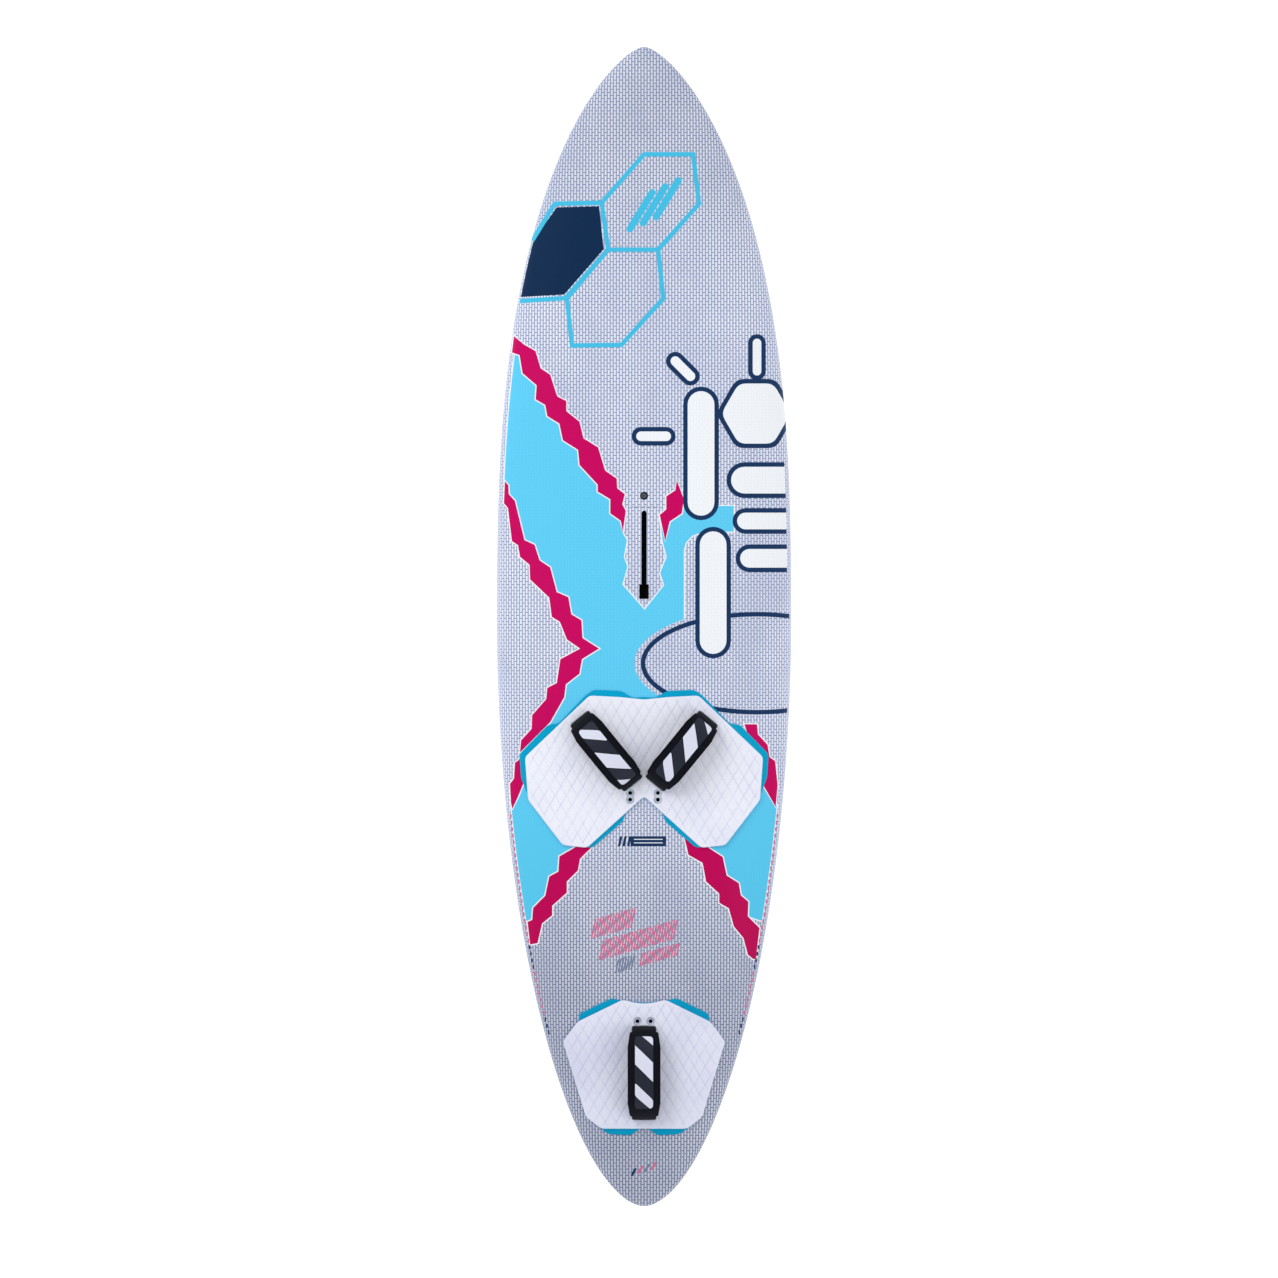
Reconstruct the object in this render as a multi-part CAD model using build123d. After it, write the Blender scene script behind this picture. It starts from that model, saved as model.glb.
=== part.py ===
from build123d import *
import math
import os

"""A wave-sailing windsurf board: foam core, laminate skins, mast track, vent, pads, footstraps and fins.

The frame: +Y towards the nose, +Z out of the deck, origin on the deck at the middle of the mast slot.
Places on the board are given as x (off the centre line) and a station (distance from the tail tip).
"""

# ---- Driving dimensions, in millimetres ----
LENGTH = 2300
HALF_WIDTH = 292
WIDEST_STATION = 1161
THICKNESS = 121
TAIL_KICK = 22
NOSE_SCOOP = 175
FLAT_STATION = 1100          # where the bottom touches its base line
RAIL_SHARE = 0.38            # height of the rail's edge, as a share of the thickness
DECK_POWER = 2.8             # how boxy the deck's cross-section is
BOTTOM_POWER = 4.0

# How the outline and the thickness fall away from the widest station: (power, root) each way.
OUTLINE_TO_TAIL = (1.94, 0.555)
OUTLINE_TO_NOSE = (2.72, 0.672)
THICKNESS_TO_TAIL = (1.6, 0.5)
THICKNESS_TO_NOSE = (1.9, 0.6)
TAIL_ROCKER_POWER = 2.0
NOSE_ROCKER_POWER = 2.6

SKIN = 3.5                   # sandwich laminate
BOND = 0.1                   # glue line left between neighbouring pieces
TIP_INSET = (15, 20)         # the laminate is solid this close to the tail and nose tips
TIP_FLAT = 1.1               # the skins start this far from either tip
SECTION_COUNT = 28
SECTION_POINTS = 16
SLAB_SPACING = 45            # between a deck sheet's sections
SLAB_POINTS = 12

MAST_STATION = 1306
SLOT_WIDTH = 10
SLOT_LENGTH = 147
SLOT_ENTRY = (19, 29)        # wide mouth behind the slot, across and along
TRACK_BOX = (46, 200, 34)
TRACK_BLOCK = (110, 276, 52)
TRACK_CORNER = 8
TRACK_BLOCK_CORNER = 12
TRACK_SINK = 0.4             # the box's top under the deck skin's inner face
NUT_CHANNEL = (27, 12, 3)    # wide, deep and its corner radius, under the slot's lips
CHANNEL_RUN_OUT = 3          # the channel goes this far beyond the opening's two ends
BOLT_ROOM = (12, 8)          # wide and deep, under the nut channel
LIP = 7
THROUGH = 20                 # a cut goes this far past the skin it opens

VENT_OFFSET = 103            # ahead of the mast slot's middle
VENT_RADIUS = 8
VENT_DEPTH = 26
VENT_PROUD = 0.3             # the housing's rim above the deck
VENT_HEAD = (5.2, 3.6)       # radius and height
VENT_HEAD_ROUND = 0.6
VENT_SHANK = (3.0, 14)
VENT_PLAY = (0.4, 0.9)       # room round the head and under it
THREAD_PLAY = (0.25, 3)      # room round the shank and past its end
VENT_SOCKET = (2.5, 2.4)     # six-sided, radius and depth
AIR_WAY = (1.5, 3.0)         # bored radius in the housing, and in the foam below
AIR_WAY_END = 12             # below the housing
SEAL_RING = (4.05, 0.55)     # to the cord's middle, and the cord's radius
SEAL_GROOVE = 0.75

PAD_BASE = 3.0               # coloured EVA layer
PAD_TOP = 6.0                # textured EVA layer
PAD_REACH = 0.93             # the pads stay within this share of the half-width

STRAP_LEVEL = PAD_BASE + PAD_TOP - 1.5   # the strap's ends sit a little into the pad
STRAP_RISE = 58
WEBBING = (44, 2.5)
WEBBING_FOOT = 3.8           # the arch's webbing starts this far above the tabs' underside
ARCH_OVERHANG = 10           # the arch's end stands this far beyond its screws
ARCH_POWER = 2.5
COVER_WIDTH = 64
COVER_PADDING = (4.0, 5.0)   # under and over the webbing
COVER_LOW = 24               # the cover's ends stop this far above the pad
COVER_TAPER = 0.62           # the cover narrows beyond this share of the reach
COVER_LAP = 1.6              # beyond the webbing's edge, at the cover's ends
COVER_PLAY = 0.2             # between the cover and the webbing inside it
PANEL = (39, 1.0)
END_RECESS = (28, 51, 14)    # room in the pad for a strap's end: long, wide, tall
PANEL_SHARE = 1.62           # the panel's length, as a share of the reach
TAB = (19, 3)                # length and corner radius
WASHER = (12, 42, 2, 5)      # length, width, thickness and corner radius
TILT_CLEARANCE = 17          # degrees, a little over the strap's tilt of 15

PLUG_PITCH = 13.2
PLUG_WIDTH = 17
PLUG_DEPTH = 23
PLUG_FOAM = (12, 3)          # foam block around a plug and under it
PLUG_HOLE = (2.6, 16)        # threaded radius and length
PLUG_MOUTH = (3.9, 2.5)      # lead-in radius and depth
PLUG_SINK = 0.8              # a plug's top under the lowest deck level over it
STRAP_SCREW = (2.5, 20)      # shank radius and length under the head
STRAP_HEAD = (5.5, 3.2, 1.2)  # radius, height and rounded edge
CROSS = (1.2, 6, 1.6)        # the driver's cross: wide, long and deep
HOLE_PLAY = 0.4              # round a screw, in the tabs and washers

FIN_SLOT = 9.8
FIN_PLAY = 0.6               # between a fin's base and the channel's sides
FIN_GROOVE = (14.4, 6.6, 6.0)  # wide, tall, and how far in from the hull
FIN_ENTRY = 9                # length of the gap in the groove's lips
BOX_WALLS = (14, 24, 4)      # added to the channel's length; overall width; floor
BOX_FLANGE = (26, 36, 2.5)   # added to the channel's length; overall width; thickness
BOX_CORNERS = (4, 6, 12)     # of the channel, the walls and the flange
BOX_FOAM = (50, 62, 10, 14)  # added to the channel's length; width; below the box; corner
BOX_DEEP = 22
LUG = (15, 3.4)              # the tongue ahead of a fin's base, for its screw: length and thickness
FIN_GAP = 0.8                # between a fin's root and the hull
FIN_TIP = 0.985              # the last section, as a share of the way to the tip
FIN_RAKE = 0.62              # how far the tip sweeps back, as a share of the fin's depth
PIN_PLACE = (8, 9.3)         # ahead of the base's back end, and in from the hull
PIN_RADIUS = 2.5
SNUG = 0.05                  # round the pin and the fin's screw, where nothing turns
SCREW_PLACE = 8              # ahead of the fin's base
FIN_SCREW = (2.0, 3.9, 2.0)  # shank radius, head radius and head height
SCREW_SEAT = 2.2             # the head's underside, in from the hull
NUT_PLATE = (12, 3, 9.2)     # length, thickness, and how far in its underside lies


# ---- Hull shape ----
def bulge(station, tail, nose):
    """1 at the widest station, falling to 0 at the tips; tail and nose are (power, root)."""
    if station < WIDEST_STATION:
        share, (power, root) = (WIDEST_STATION - station) / WIDEST_STATION, tail
    else:
        share, (power, root) = (station - WIDEST_STATION) / (LENGTH - WIDEST_STATION), nose
    return max(0.0, 1 - share**power) ** root


def half_width(station):
    return HALF_WIDTH * bulge(station, OUTLINE_TO_TAIL, OUTLINE_TO_NOSE)


def thickness(station):
    return THICKNESS * bulge(station, THICKNESS_TO_TAIL, THICKNESS_TO_NOSE)


def rocker(station):
    """Height of the bottom's centre line above its base line."""
    if station < FLAT_STATION:
        return TAIL_KICK * ((FLAT_STATION - station) / FLAT_STATION) ** TAIL_ROCKER_POWER
    return NOSE_SCOOP * ((station - FLAT_STATION) / (LENGTH - FLAT_STATION)) ** NOSE_ROCKER_POWER


DECK_LEVEL = rocker(MAST_STATION) + thickness(MAST_STATION)


def rail_height(station):
    return rocker(station) + RAIL_SHARE * thickness(station) - DECK_LEVEL


def surface_height(x, station, side, inset=0.0):
    """Height of the deck (side 1) or bottom (side -1), or of a surface inset below it."""
    share = min(1.0, abs(x) / (half_width(station) - inset))
    power, part = (DECK_POWER, 1 - RAIL_SHARE) if side > 0 else (BOTTOM_POWER, RAIL_SHARE)
    rise = part * thickness(station) - inset
    return rail_height(station) + side * rise * math.sqrt(1 - share**power)


def surface_point(x, station, side=1, lift=0.0):
    return Vector(x, station - MAST_STATION, surface_height(x, station, side) + side * lift)


def surface_normal(x, station, side=1):
    step = 2.0
    across = surface_point(x + step, station, side) - surface_point(x - step, station, side)
    along = surface_point(x, station + step, side) - surface_point(x, station - step, side)
    return across.cross(along).normalized() * side


def stations(first, last):
    """Sections crowd towards the tips, where the outline turns quickly."""
    spread = []
    for index in range(2, SECTION_COUNT - 1):
        share = math.sin(math.pi * index / (2 * SECTION_COUNT)) ** 2
        spread.append(LENGTH * share * share * (3 - 2 * share))
    return [first] + [s for s in spread if first + 1 < s < last - 1] + [last]


def section_points(station, side, inset, start):
    """Points over the deck from left to right, or under the bottom from right to left."""
    width = half_width(station) - inset
    rail = rail_height(station)
    points = []
    for index in range(SECTION_POINTS + 1):
        x = side * width * math.sin(math.radians(-90 + 180 * index / SECTION_POINTS))
        height = surface_height(x, station, side, inset) - rail
        points.append((x, station - MAST_STATION, rail + side * (start + abs(height))))
    return points


def half_section(station, side):
    """A closed cross-section of one skin's outside, cut off at the rail's edge."""
    curve = Spline(*section_points(station, side, 0.0, BOND / 2))
    return Face(Wire([curve, Line(curve @ 1, curve @ 0)]))


def whole_section(station, inset):
    """The hull's whole cross-section, set in by the skin's thickness."""
    deck = Spline(*section_points(station, 1, inset, 0.0))
    bottom = Spline(*section_points(station, -1, inset, 0.0))
    return Face(Wire([deck, bottom]))


def half_hull(side):
    return loft([half_section(s, side) for s in stations(TIP_FLAT, LENGTH - TIP_FLAT)])


def inner_hull(inset):
    return loft([whole_section(s, inset) for s in stations(TIP_INSET[0], LENGTH - TIP_INSET[1])])


def deck_slab(first, last, reach, low, high):
    """A sheet that follows the deck, between two heights above it, out to a share of the half-width."""
    sections = []
    count = round((last - first) / SLAB_SPACING)
    for index in range(count + 1):
        station = first + (last - first) * index / count
        width = reach * half_width(station)
        turns = [-90 + 180 * k / SLAB_POINTS for k in range(SLAB_POINTS + 1)]
        xs = [width * math.sin(math.radians(turn)) for turn in turns]
        top = Spline(*[surface_point(x, station, 1, high) for x in xs])
        bottom = Spline(*[surface_point(x, station, 1, low) for x in reversed(xs)])
        edges = [top, Line(top @ 1, bottom @ 0), bottom, Line(bottom @ 1, top @ 0)]
        sections.append(Face(Wire(edges)))
    return loft(sections)


# ---- Small shapes ----
def block(across, along, up, at=(0, 0, 0), corner=0.0):
    """A box, centred across and along, from its base at the given point upwards."""
    shape = Pos(at[0], at[1], at[2] + up / 2) * Box(across, along, up)
    return fillet(shape.edges().filter_by(Axis.Z), corner) if corner else shape


def rod(radius, height, at=(0, 0, 0)):
    return Pos(at[0], at[1], at[2] + height / 2) * Cylinder(radius, height)


def outline_prism(points, low, high):
    """An upright prism from (x, station) corners."""
    corners = [(x, station - MAST_STATION) for x, station in points]
    return extrude(Pos(0, 0, low) * make_face(Polyline(*corners, close=True)), high - low)


def group(shapes):
    return Compound(children=[solid for shape in shapes for solid in shape.solids()])


parts = {}


# ---- Mast track ----
def mast_slot(low, high):
    """The keyhole-shaped opening that a mast foot's nuts drop into and slide along."""
    tall = high - low
    slot = block(SLOT_WIDTH, SLOT_LENGTH, tall, (0, 0, low), SLOT_WIDTH / 2 - 0.1)
    mouth = (0, 1 - (SLOT_LENGTH + SLOT_ENTRY[1]) / 2, low)
    return slot + block(SLOT_ENTRY[0], SLOT_ENTRY[1], tall, mouth, 2)


TRACK_TOP = -SKIN - TRACK_SINK
TRACK_MIDDLE = -SLOT_ENTRY[1] / 2


def mast_track_box():
    across, along, deep = TRACK_BOX
    body = block(across, along, deep, (0, TRACK_MIDDLE, TRACK_TOP - deep), TRACK_CORNER)
    wide, tall, corner = NUT_CHANNEL
    low = TRACK_TOP - LIP - tall
    long = SLOT_LENGTH + SLOT_ENTRY[1] + 2 * CHANNEL_RUN_OUT
    channel = block(wide, long, tall, (0, TRACK_MIDDLE, low), corner)
    bolt_room = block(BOLT_ROOM[0], long, BOLT_ROOM[1], (0, TRACK_MIDDLE, low - BOLT_ROOM[1]), corner)
    return body - channel - bolt_room - mast_slot(TRACK_TOP - LIP - 1, TRACK_TOP + 1)


def track_room(grow):
    """What the track's box takes out of the foam, open upwards."""
    across, along, deep = TRACK_BOX
    size = (across + 2 * grow, along + 2 * grow, 2 * deep)
    return block(*size, (0, TRACK_MIDDLE, TRACK_TOP - deep - grow), TRACK_CORNER)


def track_block_prism(grow):
    across, along, deep = TRACK_BLOCK
    size = (across + 2 * grow, along + 2 * grow, deep + THROUGH)
    return block(*size, (0, TRACK_MIDDLE, -deep - grow), TRACK_BLOCK_CORNER)


# ---- Vent ----
VENT_LEVEL = surface_height(0, MAST_STATION + VENT_OFFSET, 1)


def vent_rod(radius, low, high):
    return rod(radius, high - low, (0, VENT_OFFSET, VENT_LEVEL + low))


def vent_housing():
    head_radius, head_height = VENT_HEAD
    shank_radius, shank_length = VENT_SHANK
    body = vent_rod(VENT_RADIUS, -VENT_DEPTH, VENT_PROUD)
    seat = vent_rod(head_radius + VENT_PLAY[0], -head_height - VENT_PLAY[1], 1)
    thread = vent_rod(shank_radius + THREAD_PLAY[0], -head_height - shank_length - THREAD_PLAY[1], 0)
    air_way = vent_rod(AIR_WAY[0], -VENT_DEPTH - 1, -head_height)
    return body - seat - thread - air_way


def seal_ring(radius):
    """The ring under the vent screw's head, or the groove that it lies in."""
    return Pos(0, VENT_OFFSET, VENT_LEVEL - VENT_HEAD[1] - BOND) * Torus(SEAL_RING[0], radius)


def vent_screw():
    radius, height = VENT_HEAD
    head = vent_rod(radius, -height, 0)
    head = fillet(head.edges().group_by(Axis.Z)[-1], VENT_HEAD_ROUND)
    size, deep = VENT_SOCKET
    socket = Pos(0, VENT_OFFSET, VENT_LEVEL - deep) * extrude(RegularPolygon(size, 6), deep + 1)
    shank = vent_rod(VENT_SHANK[0], -height - VENT_SHANK[1], -height)
    return head + shank - socket - seal_ring(SEAL_GROOVE)


def vent_room(grow):
    """What the vent takes out of the skin and the foam, with the air way under it."""
    room = vent_rod(VENT_RADIUS + grow, -VENT_DEPTH - grow, THROUGH)
    return room + vent_rod(AIR_WAY[1], -VENT_DEPTH - AIR_WAY_END, 0)


# ---- Pads ----
FRONT_PAD_TOP = [(0, 812), (106, 713), (160, 714), (230, 806), (236, 891), (108, 1013), (48, 1010), (0, 1005)]
FRONT_PAD_BASE = [(0, 812), (38, 771), (42, 756), (108, 708), (150, 712), (230, 815), (244, 850), (247, 897),
                  (190, 955), (170, 957), (116, 1013), (100, 1024), (45, 1022), (22, 1008), (0, 1010)]
REAR_PAD_TOP = [(0, 154), (85, 154), (115, 177), (161, 327), (132, 366), (42, 410), (20, 404), (0, 402)]
REAR_PAD_BASE = [(0, 157), (12, 152), (26, 141), (70, 143), (88, 156), (112, 176), (158, 327), (130, 366),
                 (128, 382), (64, 413), (42, 407), (0, 404)]


def both_sides(points):
    """The right half's corners, then the same ones mirrored back up the left half."""
    return points + [(-x, station) for x, station in reversed(points) if x]


def pad_layer(corners, low, high):
    first = min(station for _, station in corners) - 4
    last = max(station for _, station in corners) + 4
    return deck_slab(first, last, PAD_REACH, low, high) & outline_prism(both_sides(corners), -200, 200)


# ---- Footstraps ----
class Strap:
    """One footstrap: where its two ends are screwed down, and the frame that its pieces share."""

    def __init__(self, name, front, rear, screw_spread, spares):
        self.name = name
        ends = [surface_point(*place) for place in (front, rear)]
        middle = (ends[0] + ends[1]) / 2
        along = (ends[0] - ends[1]).normalized()
        normal = surface_normal(middle.X, middle.Y + MAST_STATION)
        normal = (normal - along * normal.dot(along)).normalized()
        self.plane = Plane(origin=middle + normal * STRAP_LEVEL, x_dir=along, z_dir=normal)
        self.reach = (ends[0] - ends[1]).length / 2
        self.screw_spread = screw_spread
        self.rows = [(front, spares[0]), (rear, spares[1])]

    def place(self, shape):
        return self.plane.location * shape

    def screw_places(self):
        return [(end * self.reach, across) for end in (1, -1) for across in self.screw_spread]

    def hole_places(self):
        """Every plug hole, row by row, in the strap's own plane, as (along, across) pairs."""
        rows = []
        for (x, station), spares in self.rows:
            places = []
            for step in [0] + spares:
                for across in self.screw_spread:
                    point = surface_point(x + across, station + step)
                    local = self.plane.to_local_coords(point)
                    places.append((local.X, local.Y, local.Z))
            rows.append(places)
        return rows


def arch_curve(reach, rise):
    points = []
    for index in range(25):
        angle = math.radians(180 * index / 24)
        along = reach * math.cos(angle)
        points.append((along, rise * math.sqrt(max(0.0, 1 - abs(math.cos(angle)) ** ARCH_POWER))))
    return Spline(*points, tangents=[(0, 1), (0, -1)])


def arch(reach, rise, thick, width):
    """A band bent into an arch, standing on the strap's plane."""
    outer, inner = arch_curve(reach, rise), arch_curve(reach - thick, rise - thick)
    profile = make_face([outer, inner, Line(outer @ 0, inner @ 0), Line(outer @ 1, inner @ 1)])
    return Rot(90, 0, 0) * extrude(profile, width / 2, both=True)


def above_tilt(reach, low):
    """The space that the tilting arch may fill: above a shallow V that clears the pad at full tilt."""
    side, high = COVER_WIDTH, 2 * STRAP_RISE
    rise = side * math.tan(math.radians(TILT_CLEARANCE))
    corners = [(0, low), (side, low + rise), (side, high), (-side, high), (-side, low + rise)]
    profile = Plane.YZ * make_face(Polyline(*corners, close=True))
    return extrude(profile, 2 * reach, both=True)


def strap_plan(reach, width):
    """The cover's plan: full width in the middle, drawn in towards its ends."""
    long, narrow = reach + 20, WEBBING[0] / 2 + COVER_LAP
    full = COVER_TAPER * reach
    corners = [(-long, narrow), (-long, -narrow), (-full, -width / 2), (full, -width / 2),
               (long, -narrow), (long, narrow), (full, width / 2), (-full, width / 2)]
    return extrude(make_face(Polyline(*corners, close=True)), 2 * STRAP_RISE)


def above_pad(length, low):
    """A roomy block that starts at a height above the strap's plane."""
    return block(length, 2 * COVER_WIDTH, 2 * STRAP_RISE, (0, 0, low))


def strap_webbing(strap):
    reach = strap.reach + ARCH_OVERHANG
    return strap.place(arch(reach, STRAP_RISE, WEBBING[1], WEBBING[0]) & above_tilt(reach, WEBBING_FOOT))


def strap_cover(strap):
    reach = strap.reach + ARCH_OVERHANG
    under, over = COVER_PADDING
    sleeve = arch(reach + over, STRAP_RISE + over, under + over + WEBBING[1], COVER_WIDTH)
    thick, wide = WEBBING[1] + 2 * COVER_PLAY, WEBBING[0] + 3 * COVER_PLAY
    room = arch(reach + COVER_PLAY, STRAP_RISE + COVER_PLAY, thick, wide)
    sleeve = sleeve & strap_plan(reach, COVER_WIDTH) & above_pad(3 * reach, COVER_LOW)
    return strap.place(sleeve - room)


def strap_panel(strap):
    width, thick = PANEL
    outside = COVER_PADDING[1] + thick + BOND
    band = arch(strap.reach + ARCH_OVERHANG + outside, STRAP_RISE + outside, thick, width)
    return strap.place(band & above_pad(PANEL_SHARE * strap.reach, COVER_LOW))


def strap_tabs(strap):
    """The webbing's two ends, clamped flat under their washers."""
    tabs = []
    for end in (1, -1):
        tab = block(TAB[0], WEBBING[0], WEBBING[1], (end * (strap.reach - 0.5), 0, 0), TAB[1])
        for across in strap.screw_spread:
            tab -= rod(STRAP_SCREW[0] + HOLE_PLAY, 10, (end * strap.reach, across, -2))
        tabs.append(strap.place(tab))
    return group(tabs)


def strap_washers(strap):
    """One wide plate over each tab, short enough to lie inside the arch's foot."""
    long, wide, thick, corner = WASHER
    plates = []
    for end in (1, -1):
        plate = block(long, wide, thick, (end * strap.reach, 0, WEBBING[1] + BOND), corner)
        for across in strap.screw_spread:
            plate -= rod(STRAP_SCREW[0] + HOLE_PLAY, 10, (end * strap.reach, across, -2))
        plates.append(strap.place(plate))
    return group(plates)


def strap_screws(strap):
    screws = []
    seat = WEBBING[1] + WASHER[2] + 2 * BOND
    radius, height, rounded = STRAP_HEAD
    wide, long, deep = CROSS
    for along, across in strap.screw_places():
        head = fillet(rod(radius, height, (along, across, seat)).edges().group_by(Axis.Z)[-1], rounded)
        bottom = (along, across, seat + height - deep)
        cross = block(wide, long, 2 * deep, bottom) + block(long, wide, 2 * deep, bottom)
        shank = rod(STRAP_SCREW[0], STRAP_SCREW[1], (along, across, seat - STRAP_SCREW[1]))
        screws.append(strap.place(head + shank - cross))
    return group(screws)


def plug_bar(strap, places, grow, low, high):
    hull = make_hull([edge for along, across, _ in places
                      for edge in (Pos(along, across) * Circle(PLUG_WIDTH / 2 + grow)).edges()])
    return strap.place(extrude(Pos(0, 0, low) * hull, high - low))


def plug_level(places):
    """A little under the lowest deck level over the row, so that the plug never stands proud."""
    return min(height for _, _, height in places) - PLUG_SINK


def strap_plugs(strap):
    bars = []
    for places in strap.hole_places():
        top = plug_level(places)
        bar = plug_bar(strap, places, 0, top - PLUG_DEPTH, top)
        mouth = top - PLUG_MOUTH[1]
        for along, across, _ in places:
            bar -= strap.place(rod(PLUG_HOLE[0], PLUG_HOLE[1] + 1, (along, across, mouth - PLUG_HOLE[1])))
            bar -= strap.place(rod(PLUG_MOUTH[0], PLUG_MOUTH[1] + 1, (along, across, mouth)))
        bars.append(bar)
    return bars


def plug_room(strap, places):
    top = plug_level(places)
    return plug_bar(strap, places, BOND, top - PLUG_DEPTH - BOND, top + 2 * SKIN)


def plug_block_prism(strap, places, grow):
    """The denser foam around one plug, reaching up through the deck."""
    around, under = PLUG_FOAM
    top = plug_level(places)
    return plug_bar(strap, places, around + grow, top - PLUG_DEPTH - under - grow, top + THROUGH)


def pad_openings(strap):
    """What the strap's ends and the plug holes take out of the pads."""
    openings = []
    for end in (1, -1):
        place = (end * (strap.reach + 2), 0, -BOND)
        openings.append(strap.place(block(END_RECESS[0], END_RECESS[1], END_RECESS[2], place, 4)))
    for places in strap.hole_places():
        for along, across, height in places:
            openings.append(strap.place(rod(PLUG_WIDTH / 2, THROUGH, (along, across, height - SKIN))))
    return openings


FRONT_STRAP_OUTER = (121, 960)
FRONT_STRAP_INNER = (27.5, 846.2)
FRONT_SPARES = ([step * PLUG_PITCH for step in (-2, -1, 1)], [step * PLUG_PITCH for step in (-3, -2, -1, 1)])
REAR_STRAP = ((0, 347), (0, 184))
REAR_SPARES = ([-20, 20], [20, 40])
SCREW_PAIR = (-13, 13)


def mirror_x(place):
    return (-place[0], place[1])


STRAPS = [
    Strap("front_left", mirror_x(FRONT_STRAP_OUTER), mirror_x(FRONT_STRAP_INNER), (0,), FRONT_SPARES),
    Strap("front_right", FRONT_STRAP_OUTER, FRONT_STRAP_INNER, (0,), FRONT_SPARES),
    Strap("rear", *REAR_STRAP, SCREW_PAIR, REAR_SPARES),
]


# ---- Fins ----
class Fin:
    """A fin and its box. The shared frame stands on the bottom: x forward, z out of the hull."""

    def __init__(self, name, x, station, toe, channel, base, depth, chord, thick):
        self.name, self.channel, self.base = name, channel, base
        self.depth, self.chord, self.thick = depth, chord, thick
        normal = surface_normal(x, station, -1)
        forward = Vector(math.sin(math.radians(toe)), math.cos(math.radians(toe)), 0)
        forward = (forward - normal * forward.dot(normal)).normalized()
        self.plane = Plane(origin=surface_point(x, station, -1), x_dir=forward, z_dir=normal)

    def place(self, shape):
        return self.plane.location * shape


def box_shell(fin, grow, above):
    """A fin box without its channel, grown on all sides, its flange reaching above the hull."""
    added, wide, floor = BOX_WALLS
    deep = BOX_DEEP + floor + grow
    body = block(fin.channel + added + 2 * grow, wide + 2 * grow, deep, (0, 0, -deep), BOX_CORNERS[1])
    added, wide, thick = BOX_FLANGE
    size = (fin.channel + added + 2 * grow, wide + 2 * grow, thick + grow + above)
    return body + block(*size, (0, 0, -thick - grow), BOX_CORNERS[2])


def fin_box(fin):
    """A channel with an undercut groove, open to the water, where the fin slides fore and aft."""
    slot = block(fin.channel, FIN_SLOT, BOX_DEEP + 1, (0, 0, -BOX_DEEP), BOX_CORNERS[0])
    wide, tall, inward = FIN_GROOVE
    groove = block(fin.channel, wide, tall, (0, 0, -inward - tall), BOX_CORNERS[0])
    entry = block(FIN_ENTRY, wide, inward + 2, (0, 0, -inward - 1))
    return fin.place(box_shell(fin, 0, 0) - slot - groove - entry)


def box_room(fin, grow):
    return fin.place(box_shell(fin, grow, THROUGH))


def box_block_prism(fin, grow):
    added, wide, below, corner = BOX_FOAM
    low = -BOX_DEEP - below - grow
    size = (fin.channel + added + 2 * grow, wide + 2 * grow, THROUGH - low)
    return fin.place(block(*size, (0, 0, low), corner))


def foil_section(chord, thick, trailing, depth):
    """A four-digit symmetric foil, nose forward, with its blunt tail at the trailing place."""
    upper = []
    for index in range(13):
        share = (1 - math.cos(math.pi * index / 12)) / 2
        half = 5 * thick * (0.2969 * math.sqrt(share) - 0.126 * share - 0.3516 * share**2
                            + 0.2843 * share**3 - 0.1036 * share**4)
        upper.append((trailing + chord * (1 - share), half + 0.12 * share, depth))
    lower = [(x, -y, z) for x, y, z in reversed(upper[1:])]
    blunt = Line(upper[-1], lower[0])
    around = Spline(*lower, *upper)
    return Face(Wire([around, blunt]))


def fin_blade(fin):
    """The raked foil outside the hull, with its rounded tip."""
    sections = []
    for index in range(10):
        share = FIN_TIP * math.sin(math.radians(90 * index / 9))
        chord = fin.chord * (1 - share**2.6) ** 0.62 * (1 - 0.18 * share) + 4
        leading = fin.base / 2 - FIN_RAKE * fin.depth * share**1.7
        sections.append(foil_section(chord, fin.thick * chord, leading - chord, FIN_GAP + fin.depth * share))
    return loft(sections)


def pin_rod(fin, radius, length):
    """A rod across the fin's base, at its back end."""
    ahead, inward = PIN_PLACE
    return Pos(ahead - fin.base / 2, 0, -inward) * Rot(90, 0, 0) * Cylinder(radius, length)


def fin_whole(fin):
    """Blade and base in one moulding; the base fills the channel between its pin and its screw."""
    tall = BOX_DEEP - 2
    wide = FIN_SLOT - FIN_PLAY
    base = block(fin.base, wide, tall + FIN_GAP + 1, (0, 0, -tall), 3)
    long, thick = LUG
    seat = -SCREW_SEAT
    lug = block(long + 4, wide, thick, ((fin.base + long) / 2 - 2, 0, seat + 1.4 - thick), 3)
    shank, head, _ = FIN_SCREW
    place = fin.base / 2 + SCREW_PLACE
    screw_room = rod(shank + HOLE_PLAY, 12, (place, 0, -8))
    head_room = rod(head + HOLE_PLAY, 3, (place, 0, seat - BOND))
    shape = fin_blade(fin) + base + lug - screw_room - head_room
    return fin.place(shape - pin_rod(fin, PIN_RADIUS + SNUG, 30))


def fin_pin(fin):
    return fin.place(pin_rod(fin, PIN_RADIUS, FIN_GROOVE[0] - FIN_PLAY))


def fin_nut(fin):
    """The plate that the screw pulls up against the channel's lips."""
    long, thick, inward = NUT_PLATE
    place = fin.base / 2 + SCREW_PLACE
    plate = block(long, FIN_GROOVE[0] - FIN_PLAY, thick, (place, 0, -inward), 1)
    return fin.place(plate - rod(FIN_SCREW[0] + SNUG, 10, (place, 0, -14)))


def fin_screw(fin):
    shank, radius, height = FIN_SCREW
    place = fin.base / 2 + SCREW_PLACE
    head = rod(radius, height, (place, 0, -SCREW_SEAT))
    slot = block(8, 1.0, 2, (place, 0, height / 2 - SCREW_SEAT))
    return fin.place(head + rod(shank, 11, (place, 0, -13)) - slot)


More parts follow.
